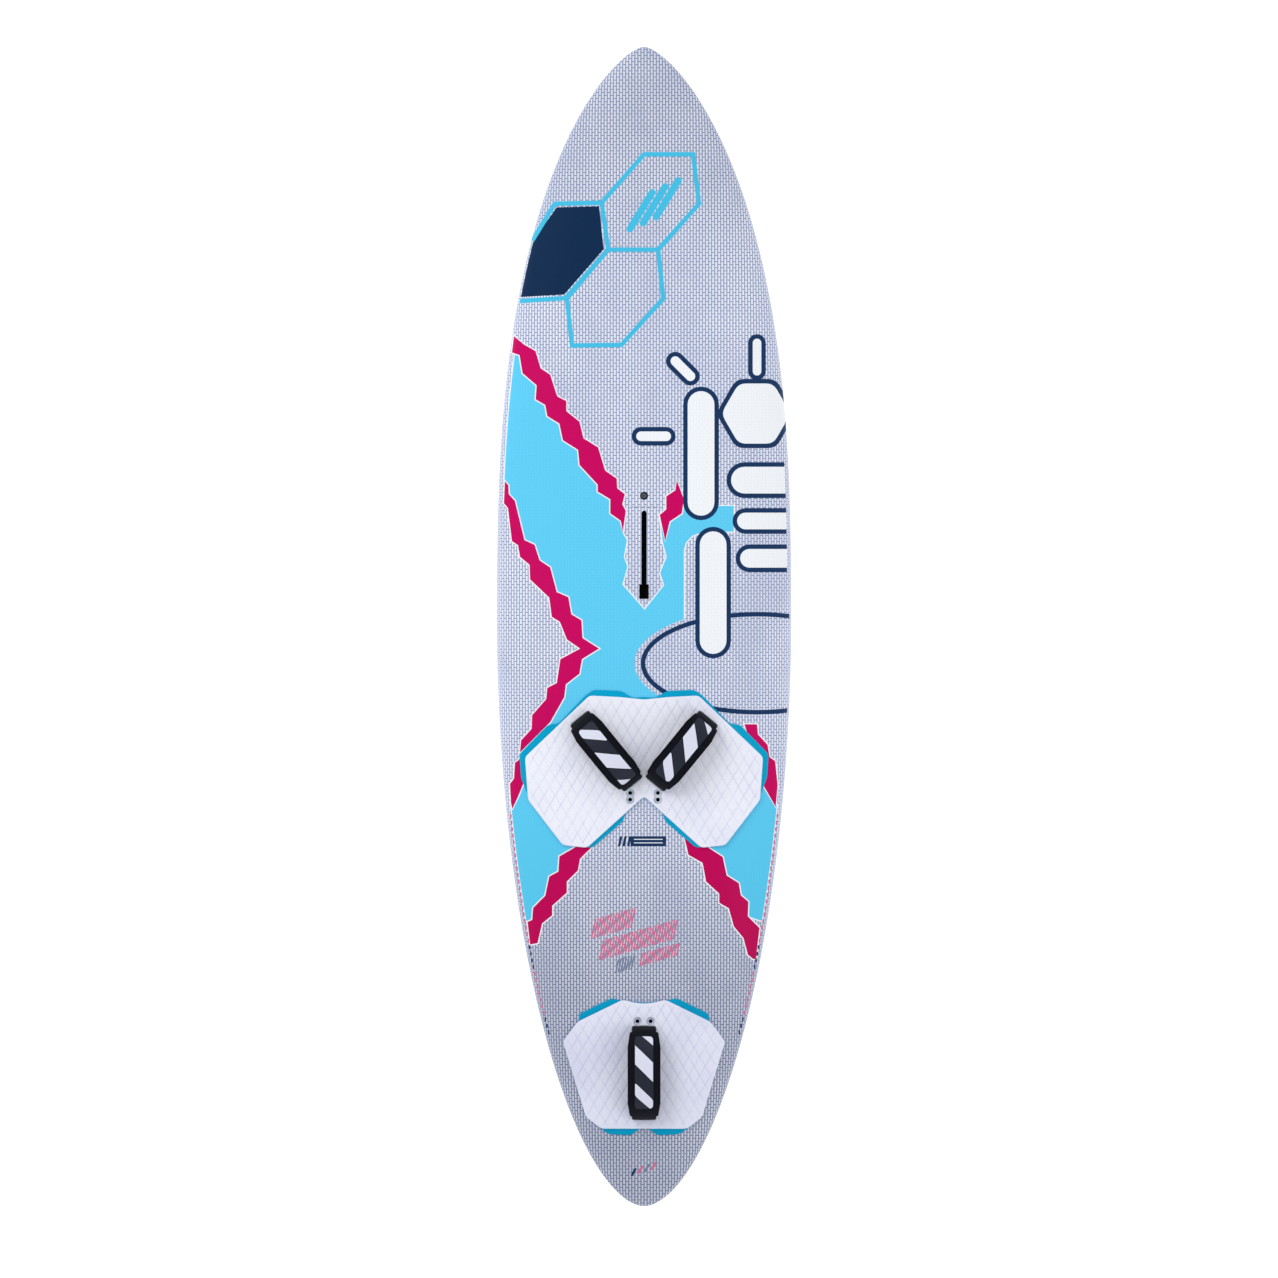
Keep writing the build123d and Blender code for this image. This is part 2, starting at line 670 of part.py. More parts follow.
FINS = [
    Fin("centre", 0, 215, 0, 200, 128, 195, 118, 0.082),
    Fin("left", -118, 395, 2.5, 124, 74, 100, 84, 0.085),
    Fin("right", 118, 395, -2.5, 124, 74, 100, 84, 0.085),
]


# ---- Build every piece ----
def build():
    core = inner_hull(SKIN + BOND)
    hollow = inner_hull(SKIN)
    deck_skin = half_hull(1) - hollow
    bottom_skin = half_hull(-1) - hollow

    slot = mast_slot(TRACK_TOP - 2, THROUGH)
    parts["mast_track_box"] = mast_track_box()
    parts["mast_track_block"] = (core & track_block_prism(0)) - track_room(BOND) - vent_room(BOND)
    core = core - track_block_prism(BOND) - vent_room(BOND)
    deck_skin = deck_skin - slot - vent_room(BOND)

    parts["vent_housing"] = vent_housing()
    parts["vent_screw"] = vent_screw()
    parts["vent_seal"] = seal_ring(SEAL_RING[1])

    layers = {
        "front_pad_base": pad_layer(FRONT_PAD_BASE, BOND, PAD_BASE),
        "front_pad_top": pad_layer(FRONT_PAD_TOP, PAD_BASE + BOND, PAD_BASE + PAD_TOP),
        "rear_pad_base": pad_layer(REAR_PAD_BASE, BOND, PAD_BASE),
        "rear_pad_top": pad_layer(REAR_PAD_TOP, PAD_BASE + BOND, PAD_BASE + PAD_TOP),
    }
    plugs = {"front_strap_plugs": [], "rear_strap_plugs": []}
    blocks = {"front_plug_blocks": [], "rear_plug_blocks": []}
    for strap in STRAPS:
        parts[strap.name + "_strap_webbing"] = strap_webbing(strap)
        parts[strap.name + "_strap_cover"] = strap_cover(strap)
        parts[strap.name + "_strap_panel"] = strap_panel(strap)
        parts[strap.name + "_strap_tabs"] = strap_tabs(strap)
        parts[strap.name + "_strap_washers"] = strap_washers(strap)
        parts[strap.name + "_strap_screws"] = strap_screws(strap)
        where = "rear" if strap.name == "rear" else "front"
        for opening in pad_openings(strap):
            layers[where + "_pad_base"] -= opening
            layers[where + "_pad_top"] -= opening
        plugs[where + "_strap_plugs"] += strap_plugs(strap)
        for places in strap.hole_places():
            room = plug_room(strap, places)
            blocks[where + "_plug_blocks"].append((core & plug_block_prism(strap, places, 0)) - room)
            core -= plug_block_prism(strap, places, BOND)
            deck_skin -= room
    parts.update(layers)
    for name, shapes in {**plugs, **blocks}.items():
        parts[name] = group(shapes)

    for fin in FINS:
        parts[fin.name + "_fin"] = fin_whole(fin)
        parts[fin.name + "_fin_pin"] = fin_pin(fin)
        parts[fin.name + "_fin_nut"] = fin_nut(fin)
        parts[fin.name + "_fin_screw"] = fin_screw(fin)
        parts[fin.name + "_fin_box"] = fin_box(fin)
        parts[fin.name + "_fin_block"] = (core & box_block_prism(fin, 0)) - box_room(fin, BOND)
        core -= box_block_prism(fin, BOND)
        bottom_skin -= box_room(fin, BOND)

    parts["foam_core"] = core
    parts["deck_skin"] = deck_skin
    parts["bottom_skin"] = bottom_skin


build()
os.makedirs("parts", exist_ok=True)
for name, shape in parts.items():
    export_step(shape, f"parts/{name}.step")
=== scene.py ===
"""Looks for a wave-riding windsurf board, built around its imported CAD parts.

Lengths are millimetres until a mesh is made, where they become metres. A place on the board is (x, station):
x off the centre line, station along the board from the tail's tip. Layers lie on the deck, lifted above it.
"""
import math

import bpy
import numpy as np
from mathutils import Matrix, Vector
from mathutils.bvhtree import BVHTree
from mathutils.geometry import delaunay_2d_cdt


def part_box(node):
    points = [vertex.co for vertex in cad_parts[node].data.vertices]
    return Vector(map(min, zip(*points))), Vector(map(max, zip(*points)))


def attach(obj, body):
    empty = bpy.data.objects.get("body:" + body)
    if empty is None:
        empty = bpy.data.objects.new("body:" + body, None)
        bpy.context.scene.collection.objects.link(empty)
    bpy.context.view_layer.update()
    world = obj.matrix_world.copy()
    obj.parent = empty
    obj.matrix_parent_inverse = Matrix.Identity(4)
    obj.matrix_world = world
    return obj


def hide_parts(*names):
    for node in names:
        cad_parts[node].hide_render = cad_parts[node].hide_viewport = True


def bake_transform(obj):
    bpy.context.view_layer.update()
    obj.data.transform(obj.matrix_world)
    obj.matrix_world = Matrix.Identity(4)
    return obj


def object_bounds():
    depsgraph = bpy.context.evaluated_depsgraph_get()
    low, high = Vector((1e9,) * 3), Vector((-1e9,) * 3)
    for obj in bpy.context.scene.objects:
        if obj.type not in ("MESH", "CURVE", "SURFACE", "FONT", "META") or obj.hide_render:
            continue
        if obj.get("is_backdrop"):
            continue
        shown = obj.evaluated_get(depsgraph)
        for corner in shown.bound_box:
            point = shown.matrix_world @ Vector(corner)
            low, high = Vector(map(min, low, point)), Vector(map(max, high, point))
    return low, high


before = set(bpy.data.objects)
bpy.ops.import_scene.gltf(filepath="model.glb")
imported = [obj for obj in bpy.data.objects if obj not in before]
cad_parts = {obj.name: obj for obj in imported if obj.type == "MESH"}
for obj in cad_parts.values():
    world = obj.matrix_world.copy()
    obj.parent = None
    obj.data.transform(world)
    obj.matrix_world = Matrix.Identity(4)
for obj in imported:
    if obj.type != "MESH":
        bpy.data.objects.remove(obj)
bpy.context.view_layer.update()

MM = 0.001

# ---- The hull, by the same formulas as the CAD ----
LENGTH = 2300
HALF_WIDTH = 292
WIDEST_STATION = 1161
THICKNESS = 121
TAIL_KICK = 22
NOSE_SCOOP = 175
FLAT_STATION = 1100
RAIL_SHARE = 0.38            # of the thickness, below the widest line
DECK_POWER = 2.8
BOTTOM_POWER = 4.0
PLAN_TAIL, PLAN_NOSE = (1.94, 0.555), (2.72, 0.672)
DEPTH_TAIL, DEPTH_NOSE = (1.6, 0.5), (1.9, 0.6)
SCOOP_POWER = 2.6
MAST_STATION = 1306
SKIN = 3.2


def bulge(station, tail, nose):
    """A share of the greatest size, falling to 0 at both tips; each end has its own two powers."""
    behind = np.clip((WIDEST_STATION - station) / WIDEST_STATION, 0, 1)
    ahead = np.clip((station - WIDEST_STATION) / (LENGTH - WIDEST_STATION), 0, 1)
    tail_share = (1 - behind**tail[0]) ** tail[1]
    nose_share = (1 - ahead**nose[0]) ** nose[1]
    return np.where(station < WIDEST_STATION, tail_share, nose_share)


def half_width(station):
    return HALF_WIDTH * bulge(np.asarray(station, float), PLAN_TAIL, PLAN_NOSE)


def thickness(station):
    return THICKNESS * bulge(np.asarray(station, float), DEPTH_TAIL, DEPTH_NOSE)


def rocker(station):
    behind = np.clip((FLAT_STATION - station) / FLAT_STATION, 0, 1)
    ahead = np.clip((station - FLAT_STATION) / (LENGTH - FLAT_STATION), 0, 1)
    return TAIL_KICK * behind**2 + NOSE_SCOOP * ahead**SCOOP_POWER


DECK_LEVEL = float(rocker(MAST_STATION) + thickness(MAST_STATION))


def surface_height(share, station, side):
    """Height of the deck (side 1) or bottom (side -1) at a share of the half-width."""
    power, part = (DECK_POWER, 1 - RAIL_SHARE) if side > 0 else (BOTTOM_POWER, RAIL_SHARE)
    rise = part * thickness(station) * np.sqrt(np.clip(1 - np.abs(share) ** power, 0, 1))
    return rocker(station) + RAIL_SHARE * thickness(station) - DECK_LEVEL + side * rise


def on_deck(places, lift=0.0):
    """Points on the deck, or lifted above it, from an array of (x, station)."""
    x, station = np.asarray(places, float).T[:2]
    height = surface_height(x / half_width(station), station, 1) + lift
    return np.stack([x, station - MAST_STATION, height], 1)


def on_hull(across, station, side):
    """Points from how far round the section they lie: -1 at the left rail to 1 at the right rail."""
    share = np.sin(across * math.pi / 2)
    height = surface_height(share, station, side)
    return np.stack([share * half_width(station), station - MAST_STATION, height], 1)


def hull_normals(across, station, side):
    """Outward normals, from points a little to either side."""
    low, high = np.clip(across - 0.002, -1, 1), np.clip(across + 0.002, -1, 1)
    round_the_section = on_hull(high, station, side) - on_hull(low, station, side)
    back, front = np.clip(station - 0.2, 0, LENGTH), np.clip(station + 0.2, 0, LENGTH)
    along = on_hull(across, front, side) - on_hull(across, back, side)
    normals = np.cross(round_the_section, along) * side
    return normals / np.maximum(np.linalg.norm(normals, axis=1, keepdims=True), 1e-9)


def girth(across, station, side, steps=24):
    """How far a point lies from the centre line, measured round the section."""
    total = np.zeros(len(across))
    last = on_hull(across * 0, station, side)
    for step in range(1, steps + 1):
        point = on_hull(across * step / steps, station, side)
        total += np.linalg.norm(point - last, axis=1)
        last = point
    return total * np.sign(across)


# ---- Flat outlines ----
def ccw(points):
    """The outline turned anticlockwise."""
    points = [tuple(p) for p in points]
    area = sum(a[0] * b[1] - b[0] * a[1] for a, b in zip(points, points[1:] + points[:1]))
    return points if area > 0 else points[::-1]


def both_sides(points):
    """The right half's corners, then the same ones mirrored back up the left half."""
    return points + [(-x, station) for x, station in reversed(points) if x]


def dense(points, spacing, closed=True):
    """The same outline with extra points along its long edges."""
    result = []
    for a, b in zip(points, points[1:] + points[:1] if closed else points[1:]):
        count = max(1, math.ceil(math.dist(a, b) / spacing))
        result += [(a[0] + (b[0] - a[0]) * k / count, a[1] + (b[1] - a[1]) * k / count) for k in range(count)]
    return result if closed else result + [points[-1]]


def rounded(points, radius, steps=4):
    """The outline with each corner turned into a short curve."""
    result = []
    for before, corner, after in zip(points[-1:] + points[:-1], points, points[1:] + points[:1]):
        reach_in = min(radius, math.dist(before, corner) / 2.2)
        reach_out = min(radius, math.dist(after, corner) / 2.2)
        start = Vector(corner).lerp(Vector(before), reach_in / math.dist(before, corner))
        end = Vector(corner).lerp(Vector(after), reach_out / math.dist(after, corner))
        for k in range(steps + 1):
            t = k / steps
            bent = start.lerp(Vector(corner), t).lerp(Vector(corner).lerp(end, t), t)
            result.append((bent.x, bent.y))
    return result


def grown(points, distance):
    """The outline moved outwards by a distance, with its corners mitred."""
    points = ccw(points)
    result = []
    for before, corner, after in zip(points[-1:] + points[:-1], points, points[1:] + points[:1]):
        enter = (Vector(corner) - Vector(before)).normalized()
        leave = (Vector(after) - Vector(corner)).normalized()
        side_in, side_out = Vector((enter.y, -enter.x)), Vector((leave.y, -leave.x))
        middle = side_in + side_out
        reach = min(2.5, 2 / max(middle.length_squared, 0.1))
        result.append(tuple(Vector(corner) + middle * distance * reach))
    return result


def circle(radius, middle=(0, 0), count=48, stretch=1.0):
    angles = [2 * math.pi * k / count for k in range(count)]
    return [(middle[0] + radius * math.cos(a), middle[1] + radius * stretch * math.sin(a)) for a in angles]


def capsule(start, end, radius, steps=12):
    """A bar with round ends."""
    along = (Vector(end) - Vector(start)).normalized()
    heading = math.atan2(along.y, along.x)
    ends = []
    for middle, turn in ((end, -90), (start, 90)):
        for k in range(steps + 1):
            angle = heading + math.radians(turn + 180 * k / steps)
            ends.append((middle[0] + radius * math.cos(angle), middle[1] + radius * math.sin(angle)))
    return ends


def stroke(path, width, closed=False):
    """A line of a given width along a path, as one small quad for each stretch."""
    count = len(path)
    sides = []
    for index, point in enumerate(path):
        before = path[index - 1] if closed or index else None
        after = path[(index + 1) % count] if closed or index < count - 1 else None
        enter = (Vector(point) - Vector(before)).normalized() if before else None
        leave = (Vector(after) - Vector(point)).normalized() if after else enter
        enter = enter or leave
        middle = Vector((enter.y, -enter.x)) + Vector((leave.y, -leave.x))
        reach = middle * width / max(middle.length_squared, 0.4)
        sides.append((Vector(point) + reach, Vector(point) - reach))
    pairs = zip(sides, sides[1:] + sides[:1] if closed else sides[1:])
    return [[tuple(a[0]), tuple(b[0]), tuple(b[1]), tuple(a[1])] for a, b in pairs]


def edge_distance(places, outline):
    """Distance from each place to the nearest edge of an outline."""
    nearest = np.full(len(places), 1e9)
    for a, b in zip(outline, outline[1:] + outline[:1]):
        a, b = np.array(a, float), np.array(b, float)
        along = np.clip(((places - a) @ (b - a)) / max((b - a) @ (b - a), 1e-9), 0, 1)
        nearest = np.minimum(nearest, np.linalg.norm(places - a - along[:, None] * (b - a), axis=1))
    return nearest


def inside(places, outline):
    """Which places lie inside an outline."""
    result = np.zeros(len(places), bool)
    for a, b in zip(outline, outline[1:] + outline[:1]):
        if a[1] == b[1]:
            continue
        crosses = (a[1] > places[:, 1]) != (b[1] > places[:, 1])
        where = a[0] + (places[:, 1] - a[1]) * (b[0] - a[0]) / (b[1] - a[1])
        result ^= crosses & (places[:, 0] < where)
    return result


def tile(places, shapes):
    """Triangles over a field of places, cut along the shapes; each one's owner is the last shape over it."""
    points = [Vector(p) for p in places]
    faces = []
    for shape in shapes:
        shape = ccw(shape)
        faces.append(list(range(len(points), len(points) + len(shape))))
        points += [Vector(p) for p in shape]
    flat, _, triangles, _, _, holders = delaunay_2d_cdt(points, [], faces, 0, 1e-4)
    owners = np.array([max(held) if held else -1 for held in holders])
    return np.array([tuple(p) for p in flat]), np.array(triangles), owners


# ---- Meshes ----
def make_object(name, points, faces, materials, slots=None, body="root", sharp=35):
    """A piece from points in millimetres, riding on a body; sharp is the angle of a hard edge, 0 for none."""
    mesh = bpy.data.meshes.new(name)
    mesh.from_pydata((np.asarray(points, float) * MM).tolist(), [], [list(map(int, f)) for f in faces])
    for material in materials:
        mesh.materials.append(material)
    if slots is not None:
        mesh.polygons.foreach_set("material_index", np.asarray(slots, np.int32))
    mesh.polygons.foreach_set("use_smooth", [True] * len(mesh.polygons))
    mesh.update()
    mesh.validate()
    if sharp:
        mesh.set_sharp_from_angle(angle=math.radians(sharp))
    piece = bpy.data.objects.new(name, mesh)
    bpy.context.scene.collection.objects.link(piece)
    if body:
        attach(piece, body)
    return piece


def compact(points, triangles):
    """The points that the triangles use, and the triangles renumbered to them."""
    used = np.unique(triangles)
    place = np.full(len(points), -1)
    place[used] = np.arange(len(used))
    return points[used], place[triangles]


def shell_faces(triangles, count):
    """Faces of a closed sheet: the top, the same triangles below, and walls along every open edge."""
    edges = {}
    for number, (a, b, c) in enumerate(triangles):
        for edge in ((a, b), (b, c), (c, a)):
            edges[edge] = number
    walls, owners = [], []
    for (a, b), number in edges.items():
        if (b, a) not in edges:
            walls.append((b, a, a + count, b + count))
            owners.append(number)
    under = triangles[:, ::-1] + count
    return list(triangles) + list(under) + walls, owners


def sheet(name, top, bottom, triangles, materials, slots=None, body="root", sharp=35):
    """A closed sheet between two sets of points; its walls take their neighbour's material."""
    faces, owners = shell_faces(triangles, len(top))
    if slots is not None:
        slots = np.asarray(slots)
        slots = np.concatenate([slots, slots, slots[owners]])
    return make_object(name, np.concatenate([top, bottom]), faces, materials, slots, body, sharp)


def give(piece, **numbers):
    """Stores numbers on a piece's points, for its material to read."""
    for name, values in numbers.items():
        piece.data.attributes.new(name, "FLOAT", "POINT").data.foreach_set("value", values)


def band_faces(rows, columns):
    """Quads over rows of points, where each row is a closed ring."""
    faces = []
    for row in range(rows - 1):
        for column in range(columns):
            beside = (column + 1) % columns
            faces.append((row * columns + column, row * columns + beside,
                          (row + 1) * columns + beside, (row + 1) * columns + column))
    return faces


def loft(name, rings, material, body, sharp):
    """A closed skin over a stack of rings with equal numbers of points."""
    count, size = rings.shape[:2]
    faces = band_faces(count, size)
    faces.append(tuple(range(size))[::-1])
    faces.append(tuple((count - 1) * size + k for k in range(size)))
    return make_object(name, rings.reshape(-1, 3), faces, [material], None, body, sharp)


# ---- Shader arithmetic ----
class Value:
    """A number inside a material's nodes; arithmetic on it adds math nodes."""

    def __init__(self, tree, socket):
        self.tree, self.socket = tree, socket

    def math(self, operation, *others):
        node = self.tree.nodes.new("ShaderNodeMath")
        node.operation = operation
        for index, value in enumerate((self, *others)):
            if isinstance(value, Value):
                self.tree.links.new(value.socket, node.inputs[index])
            else:
                node.inputs[index].default_value = value
        return Value(self.tree, node.outputs[0])

    def __add__(self, other):
        return self.math("ADD", other)

    def __sub__(self, other):
        return self.math("SUBTRACT", other)

    def __rsub__(self, other):
        return self * -1 + other

    def __mul__(self, other):
        return self.math("MULTIPLY", other)

    def __truediv__(self, other):
        return self.math("DIVIDE", other)

    def __abs__(self):
        return self.math("ABSOLUTE")

    def part(self):
        return self.math("FRACT")

    def step(self, low, high):
        """0 below low, 1 above high, smooth between; low may be the larger one to turn it round."""
        node = self.tree.nodes.new("ShaderNodeMapRange")
        node.interpolation_type = "SMOOTHSTEP"
        self.tree.links.new(self.socket, node.inputs["Value"])
        turned = low > high
        node.inputs["From Min"].default_value = min(low, high)
        node.inputs["From Max"].default_value = max(low, high)
        node.inputs["To Min"].default_value = 1.0 if turned else 0.0
        node.inputs["To Max"].default_value = 0.0 if turned else 1.0
        return Value(self.tree, node.outputs["Result"])


def linear(red, green, blue):
    """A linear colour from 0..255 display values."""
    shares = [value / 255 for value in (red, green, blue)]
    return tuple(((c + 0.055) / 1.055) ** 2.4 if c > 0.04 else c / 12.92 for c in shares) + (1,)


def dimmed(colour, share):
    return tuple(c * share for c in colour[:3]) + (1,)


class Look:
    """A material being built: one principled shader, fed by values in millimetres."""

    def __init__(self, name, colour, roughness=0.5, shine=0.5, **inputs):
        self.material = bpy.data.materials.new(name)
        self.material.use_nodes = True
        self.tree = self.material.node_tree
        self.shader = self.tree.nodes["Principled BSDF"]
        self.colour = colour
        self.shader.inputs["Base Color"].default_value = colour
        self.shader.inputs["Roughness"].default_value = roughness
        self.shader.inputs["Specular IOR Level"].default_value = shine
        for key, value in inputs.items():
            self.shader.inputs[key.replace("_", " ").title()].default_value = value
        self.coordinates = self.tree.nodes.new("ShaderNodeTexCoord").outputs["Object"]
        split = self.tree.nodes.new("ShaderNodeSeparateXYZ")
        self.tree.links.new(self.coordinates, split.inputs[0])
        self.x, self.y, self.z = (Value(self.tree, split.outputs[k]) * (1 / MM) for k in range(3))

    def attribute(self, name):
        node = self.tree.nodes.new("ShaderNodeAttribute")
        node.attribute_name = name
        return Value(self.tree, node.outputs["Fac"])

    def noise(self, size, detail=3.0, stretch=(1, 1, 1), roughness=0.5):
        """Soft noise from 0 to 1, with blotches of about the given size."""
        scaled = self.tree.nodes.new("ShaderNodeMapping")
        scaled.inputs["Scale"].default_value = stretch
        self.tree.links.new(self.coordinates, scaled.inputs[0])
        node = self.tree.nodes.new("ShaderNodeTexNoise")
        node.inputs["Scale"].default_value = 1 / (size * MM)
        node.inputs["Detail"].default_value = detail
        node.inputs["Roughness"].default_value = roughness
        self.tree.links.new(scaled.outputs[0], node.inputs["Vector"])
        return Value(self.tree, node.outputs["Fac"])

    def blend(self, factor, first, second):
        """A colour between two, each a colour or an earlier blend."""
        node = self.tree.nodes.new("ShaderNodeMix")
        node.data_type = "RGBA"
        self.tree.links.new(factor.socket, node.inputs["Factor"])
        for socket, value in ((node.inputs[6], first), (node.inputs[7], second)):
            if isinstance(value, tuple):
                socket.default_value = value
            else:
                self.tree.links.new(value, socket)
        return node.outputs[2]

    def paint(self, colour):
        self.tree.links.new(colour, self.shader.inputs["Base Color"])
        return self

    def rough(self, value):
        self.tree.links.new(value.socket, self.shader.inputs["Roughness"])
        return self

    def relief(self, height, depth):
        """Bumps the surface by a 0 to 1 height, over a depth in millimetres."""
        node = self.tree.nodes.new("ShaderNodeBump")
        node.inputs["Strength"].default_value = 1.0
        node.inputs["Distance"].default_value = depth * MM
        self.tree.links.new(height.socket, node.inputs["Height"])
        self.tree.links.new(node.outputs[0], self.shader.inputs["Normal"])
        return self


# ---- Materials ----
WEAVE_PITCH = 6.1            # from one lengthwise tow to the next


def weave(across, along):
    """A plain weave: the lengthwise tows on top, the short dashes between them, and their fine threads."""
    column = across / WEAVE_PITCH
    odd = (column.math("FLOOR") * 0.5).part()
    u = abs(column.part() - 0.5)
    v = abs((along / (2 * WEAVE_PITCH) + odd).part() - 0.5)
    waist = (v * v) * 0.62 + 0.27
    tow = (u / waist).step(1.12, 0.86) * v.step(0.455, 0.395)
    dash = u.step(0.36, 0.28) * v.step(0.425, 0.46)
    thread = abs((u * 7).part() - 0.5)
    return tow, dash, thread


def weave_colours(look, light, middle, dark, across, along):
    """Tows, gaps and dashes in three tones, mottled where the resin lies thicker; and the weave's height."""
    tow, dash, thread = weave(across, along)
    cloud = look.noise(260, detail=4, stretch=(1.6, 0.75, 1))
    patch = look.noise(38, detail=3, roughness=0.6)
    wet = (cloud * 0.7 + patch * 0.3).step(0.36, 0.66)
    tone = look.blend(tow, middle, light)
    tone = look.blend(dash * (wet * 0.35 + 0.65), tone, dark)
    tone = look.blend(thread.step(0.1, 0.0) * 0.25, tone, middle)
    return look.blend(wet * 0.30, tone, middle), tow + thread * 0.12


def bare_weave():
    """The bare laminate: darker towards both tips, from a smoky resin and, towards the tail, painted shade
    where the light falls off; with a painted highlight where it turns over the rail.
    """
    look = Look("deck_weave", linear(195, 200, 225), 0.42, 0.2, Coat_Weight=0.1, Coat_Roughness=0.22)
    across, along = look.attribute("girth"), look.y
    light, middle, dark = linear(240, 244, 255), linear(152, 163, 199), linear(84, 98, 150)
    colour, height = weave_colours(look, light, middle, dark, across, along)
    # Darker towards both tips: a smoky resin, and towards the tail also painted shade where the light falls
    # off.
    resin_and_tail_shade = along.step(-330, -1050) * 0.42 + along.step(420, 900) * 0.2
    colour = look.blend(resin_and_tail_shade * (1.35 - height * 0.6), colour, linear(66, 76, 104))
    # A painted highlight: the laminate is made paler where the deck turns down over the rail.
    edge = look.attribute("rail").step(0.84, 1.0)
    look.paint(look.blend(edge * 0.6, colour, linear(198, 205, 226)))
    return look.relief(height, 0.10).rough(look.noise(12) * 0.18 + 0.36).material


def ink(name, colour, second=None):
    """A printed colour under the clear coat, where the weave below still shows faintly; an optional second
    colour is painted shade towards the tail.
    """
    look = Look(name, colour, 0.42, 0.06, Coat_Weight=0.03, Coat_Roughness=0.2)
    tow, dash, _ = weave(look.attribute("girth"), look.y)
    tone = look.blend((1 - tow) * 0.35 + look.noise(90) * 0.18, colour, dimmed(colour, 0.86))
    # The second colour is painted shade: the same ink darker towards the tail, where the light falls off.
    if second:
        tone = look.blend(look.y.step(-250, -900), tone, second)
    return look.paint(tone).relief(tow - dash * 0.4, 0.05).rough(look.noise(9) * 0.16 + 0.33).material


def bottom_finish():
    """The same weave under a glossier coat, with less contrast."""
    look = Look("bottom_weave", linear(190, 198, 218), 0.32, 0.3, Coat_Weight=0.3, Coat_Roughness=0.15)
    light, middle, dark = linear(200, 207, 226), linear(160, 171, 200), linear(120, 134, 172)
    colour, height = weave_colours(look, light, middle, dark, look.attribute("girth"), look.y)
    return look.paint(colour).relief(height, 0.05).rough(look.noise(15) * 0.14 + 0.22).material


def eva(name, colour, shade):
    """Closed-cell foam: a fine matt grain with small pits, with painted shade in the pits, in the creases and
    towards the tail, over a little random wear.
    """
    look = Look(name, colour, 0.8, 0.08)
    grain = look.noise(0.9, detail=4, roughness=0.7)
    pits = look.noise(2.6, detail=2).step(0.30, 0.42)
    # Painted shade down the creases between the moulded scales.
    crease = look.attribute("crease") * (look.noise(70, detail=2).step(0.35, 0.65) * 0.5 + 0.2)
    # Random wear, and painted shade towards the tail where the light falls off.
    wear_and_tail_shade = look.noise(120, detail=3).step(0.4, 0.7) * 0.2 + look.y.step(-500, -1100) * 0.3
    tone = look.blend(crease, look.blend(wear_and_tail_shade, colour, shade), shade)
    # Painted shade in the small pits.
    tone = look.blend((1 - pits) * 0.2, tone, shade)
    return look.paint(tone).relief(grain * 0.6 + pits * 0.4, 0.16).rough(grain * 0.2 + 0.66).material


def webbing_finish():
    """Ribbed polyester: rows of small slanted stitches across the strap."""
    look = Look("strap_webbing", linear(8, 10, 18), 0.85, 0.12, Sheen_Weight=0.03)
    across, along = look.attribute("across"), look.attribute("along")
    rib = abs((across / 2.4).part() - 0.5) * 2
    slant = abs((along / 1.6 + abs((across / 2.4).part() - 0.5) * 0.9).part() - 0.5) * 2
    tone = look.blend(slant * rib, linear(4, 5, 11), linear(22, 26, 40))
    return look.paint(tone).relief(rib * 0.6 + slant * 0.4, 0.35).material


def neoprene_finish():
    """Knitted cloth over neoprene, a little fluffy."""
    look = Look("strap_neoprene", linear(8, 10, 18), 0.9, 0.12, Sheen_Weight=0.04)
    knit = look.noise(0.8, detail=2)
    fluff = look.noise(14, detail=4)
    tone = look.blend(knit * 0.5 + fluff * 0.35, linear(3, 4, 9), linear(20, 24, 38))
    return look.paint(tone).relief(knit * 0.7 + fluff * 0.3, 0.25).material


def panel_finish(name, colour, shade):
    """Printed ripstop: a fine thread grid over the ink."""
    look = Look(name, colour, 0.55, 0.25)
    across, along = look.attribute("across"), look.attribute("along")
    grid = abs((across / 0.9).part() - 0.5).math("MAXIMUM", abs((along / 0.9).part() - 0.5)) * 2
    tone = look.blend(grid.step(0.7, 1.0) * 0.5 + look.noise(6) * 0.2, colour, shade)
    return look.paint(tone).relief(grid, 0.08).material


def thread_finish():
    """Twisted thread."""
    look = Look("strap_thread", linear(14, 17, 27), 0.8, 0.05)
    twist = abs(((look.x + look.y + look.z) / 0.7).part() - 0.5) * 2
    return look.paint(look.blend(twist, linear(8, 10, 17), linear(24, 28, 42))).relief(twist, 0.1).material


def plastic(name, colour, roughness=0.45):
    """Moulded plastic: a fine spark-eroded grain."""
    look = Look(name, colour, roughness, 0.25)
    grain = look.noise(0.5, detail=2)
    scuff = look.noise(7, detail=4, stretch=(1, 0.25, 1)).step(0.55, 0.75)
    worn = tuple(min(1.0, c * 1.5 + 0.01) for c in colour[:3]) + (1,)
    tone = look.blend(scuff * 0.35, colour, worn)
    return look.paint(tone).relief(grain, 0.03).rough(grain * 0.15 + roughness - 0.05).material


def metal(name, colour, roughness=0.28):
    """Turned metal with fine circular tool marks and a few scratches."""
    look = Look(name, colour, roughness, Metallic=1.0)
    marks = look.noise(0.35, detail=3, stretch=(1, 1, 4))
    scratch = look.noise(3, detail=5, stretch=(5, 0.4, 1)).step(0.6, 0.72)
    tone = look.blend(scratch * 0.5, colour, dimmed(colour, 0.6))
    return look.paint(tone).relief(marks, 0.02).rough(marks * 0.2 + roughness - 0.08).material


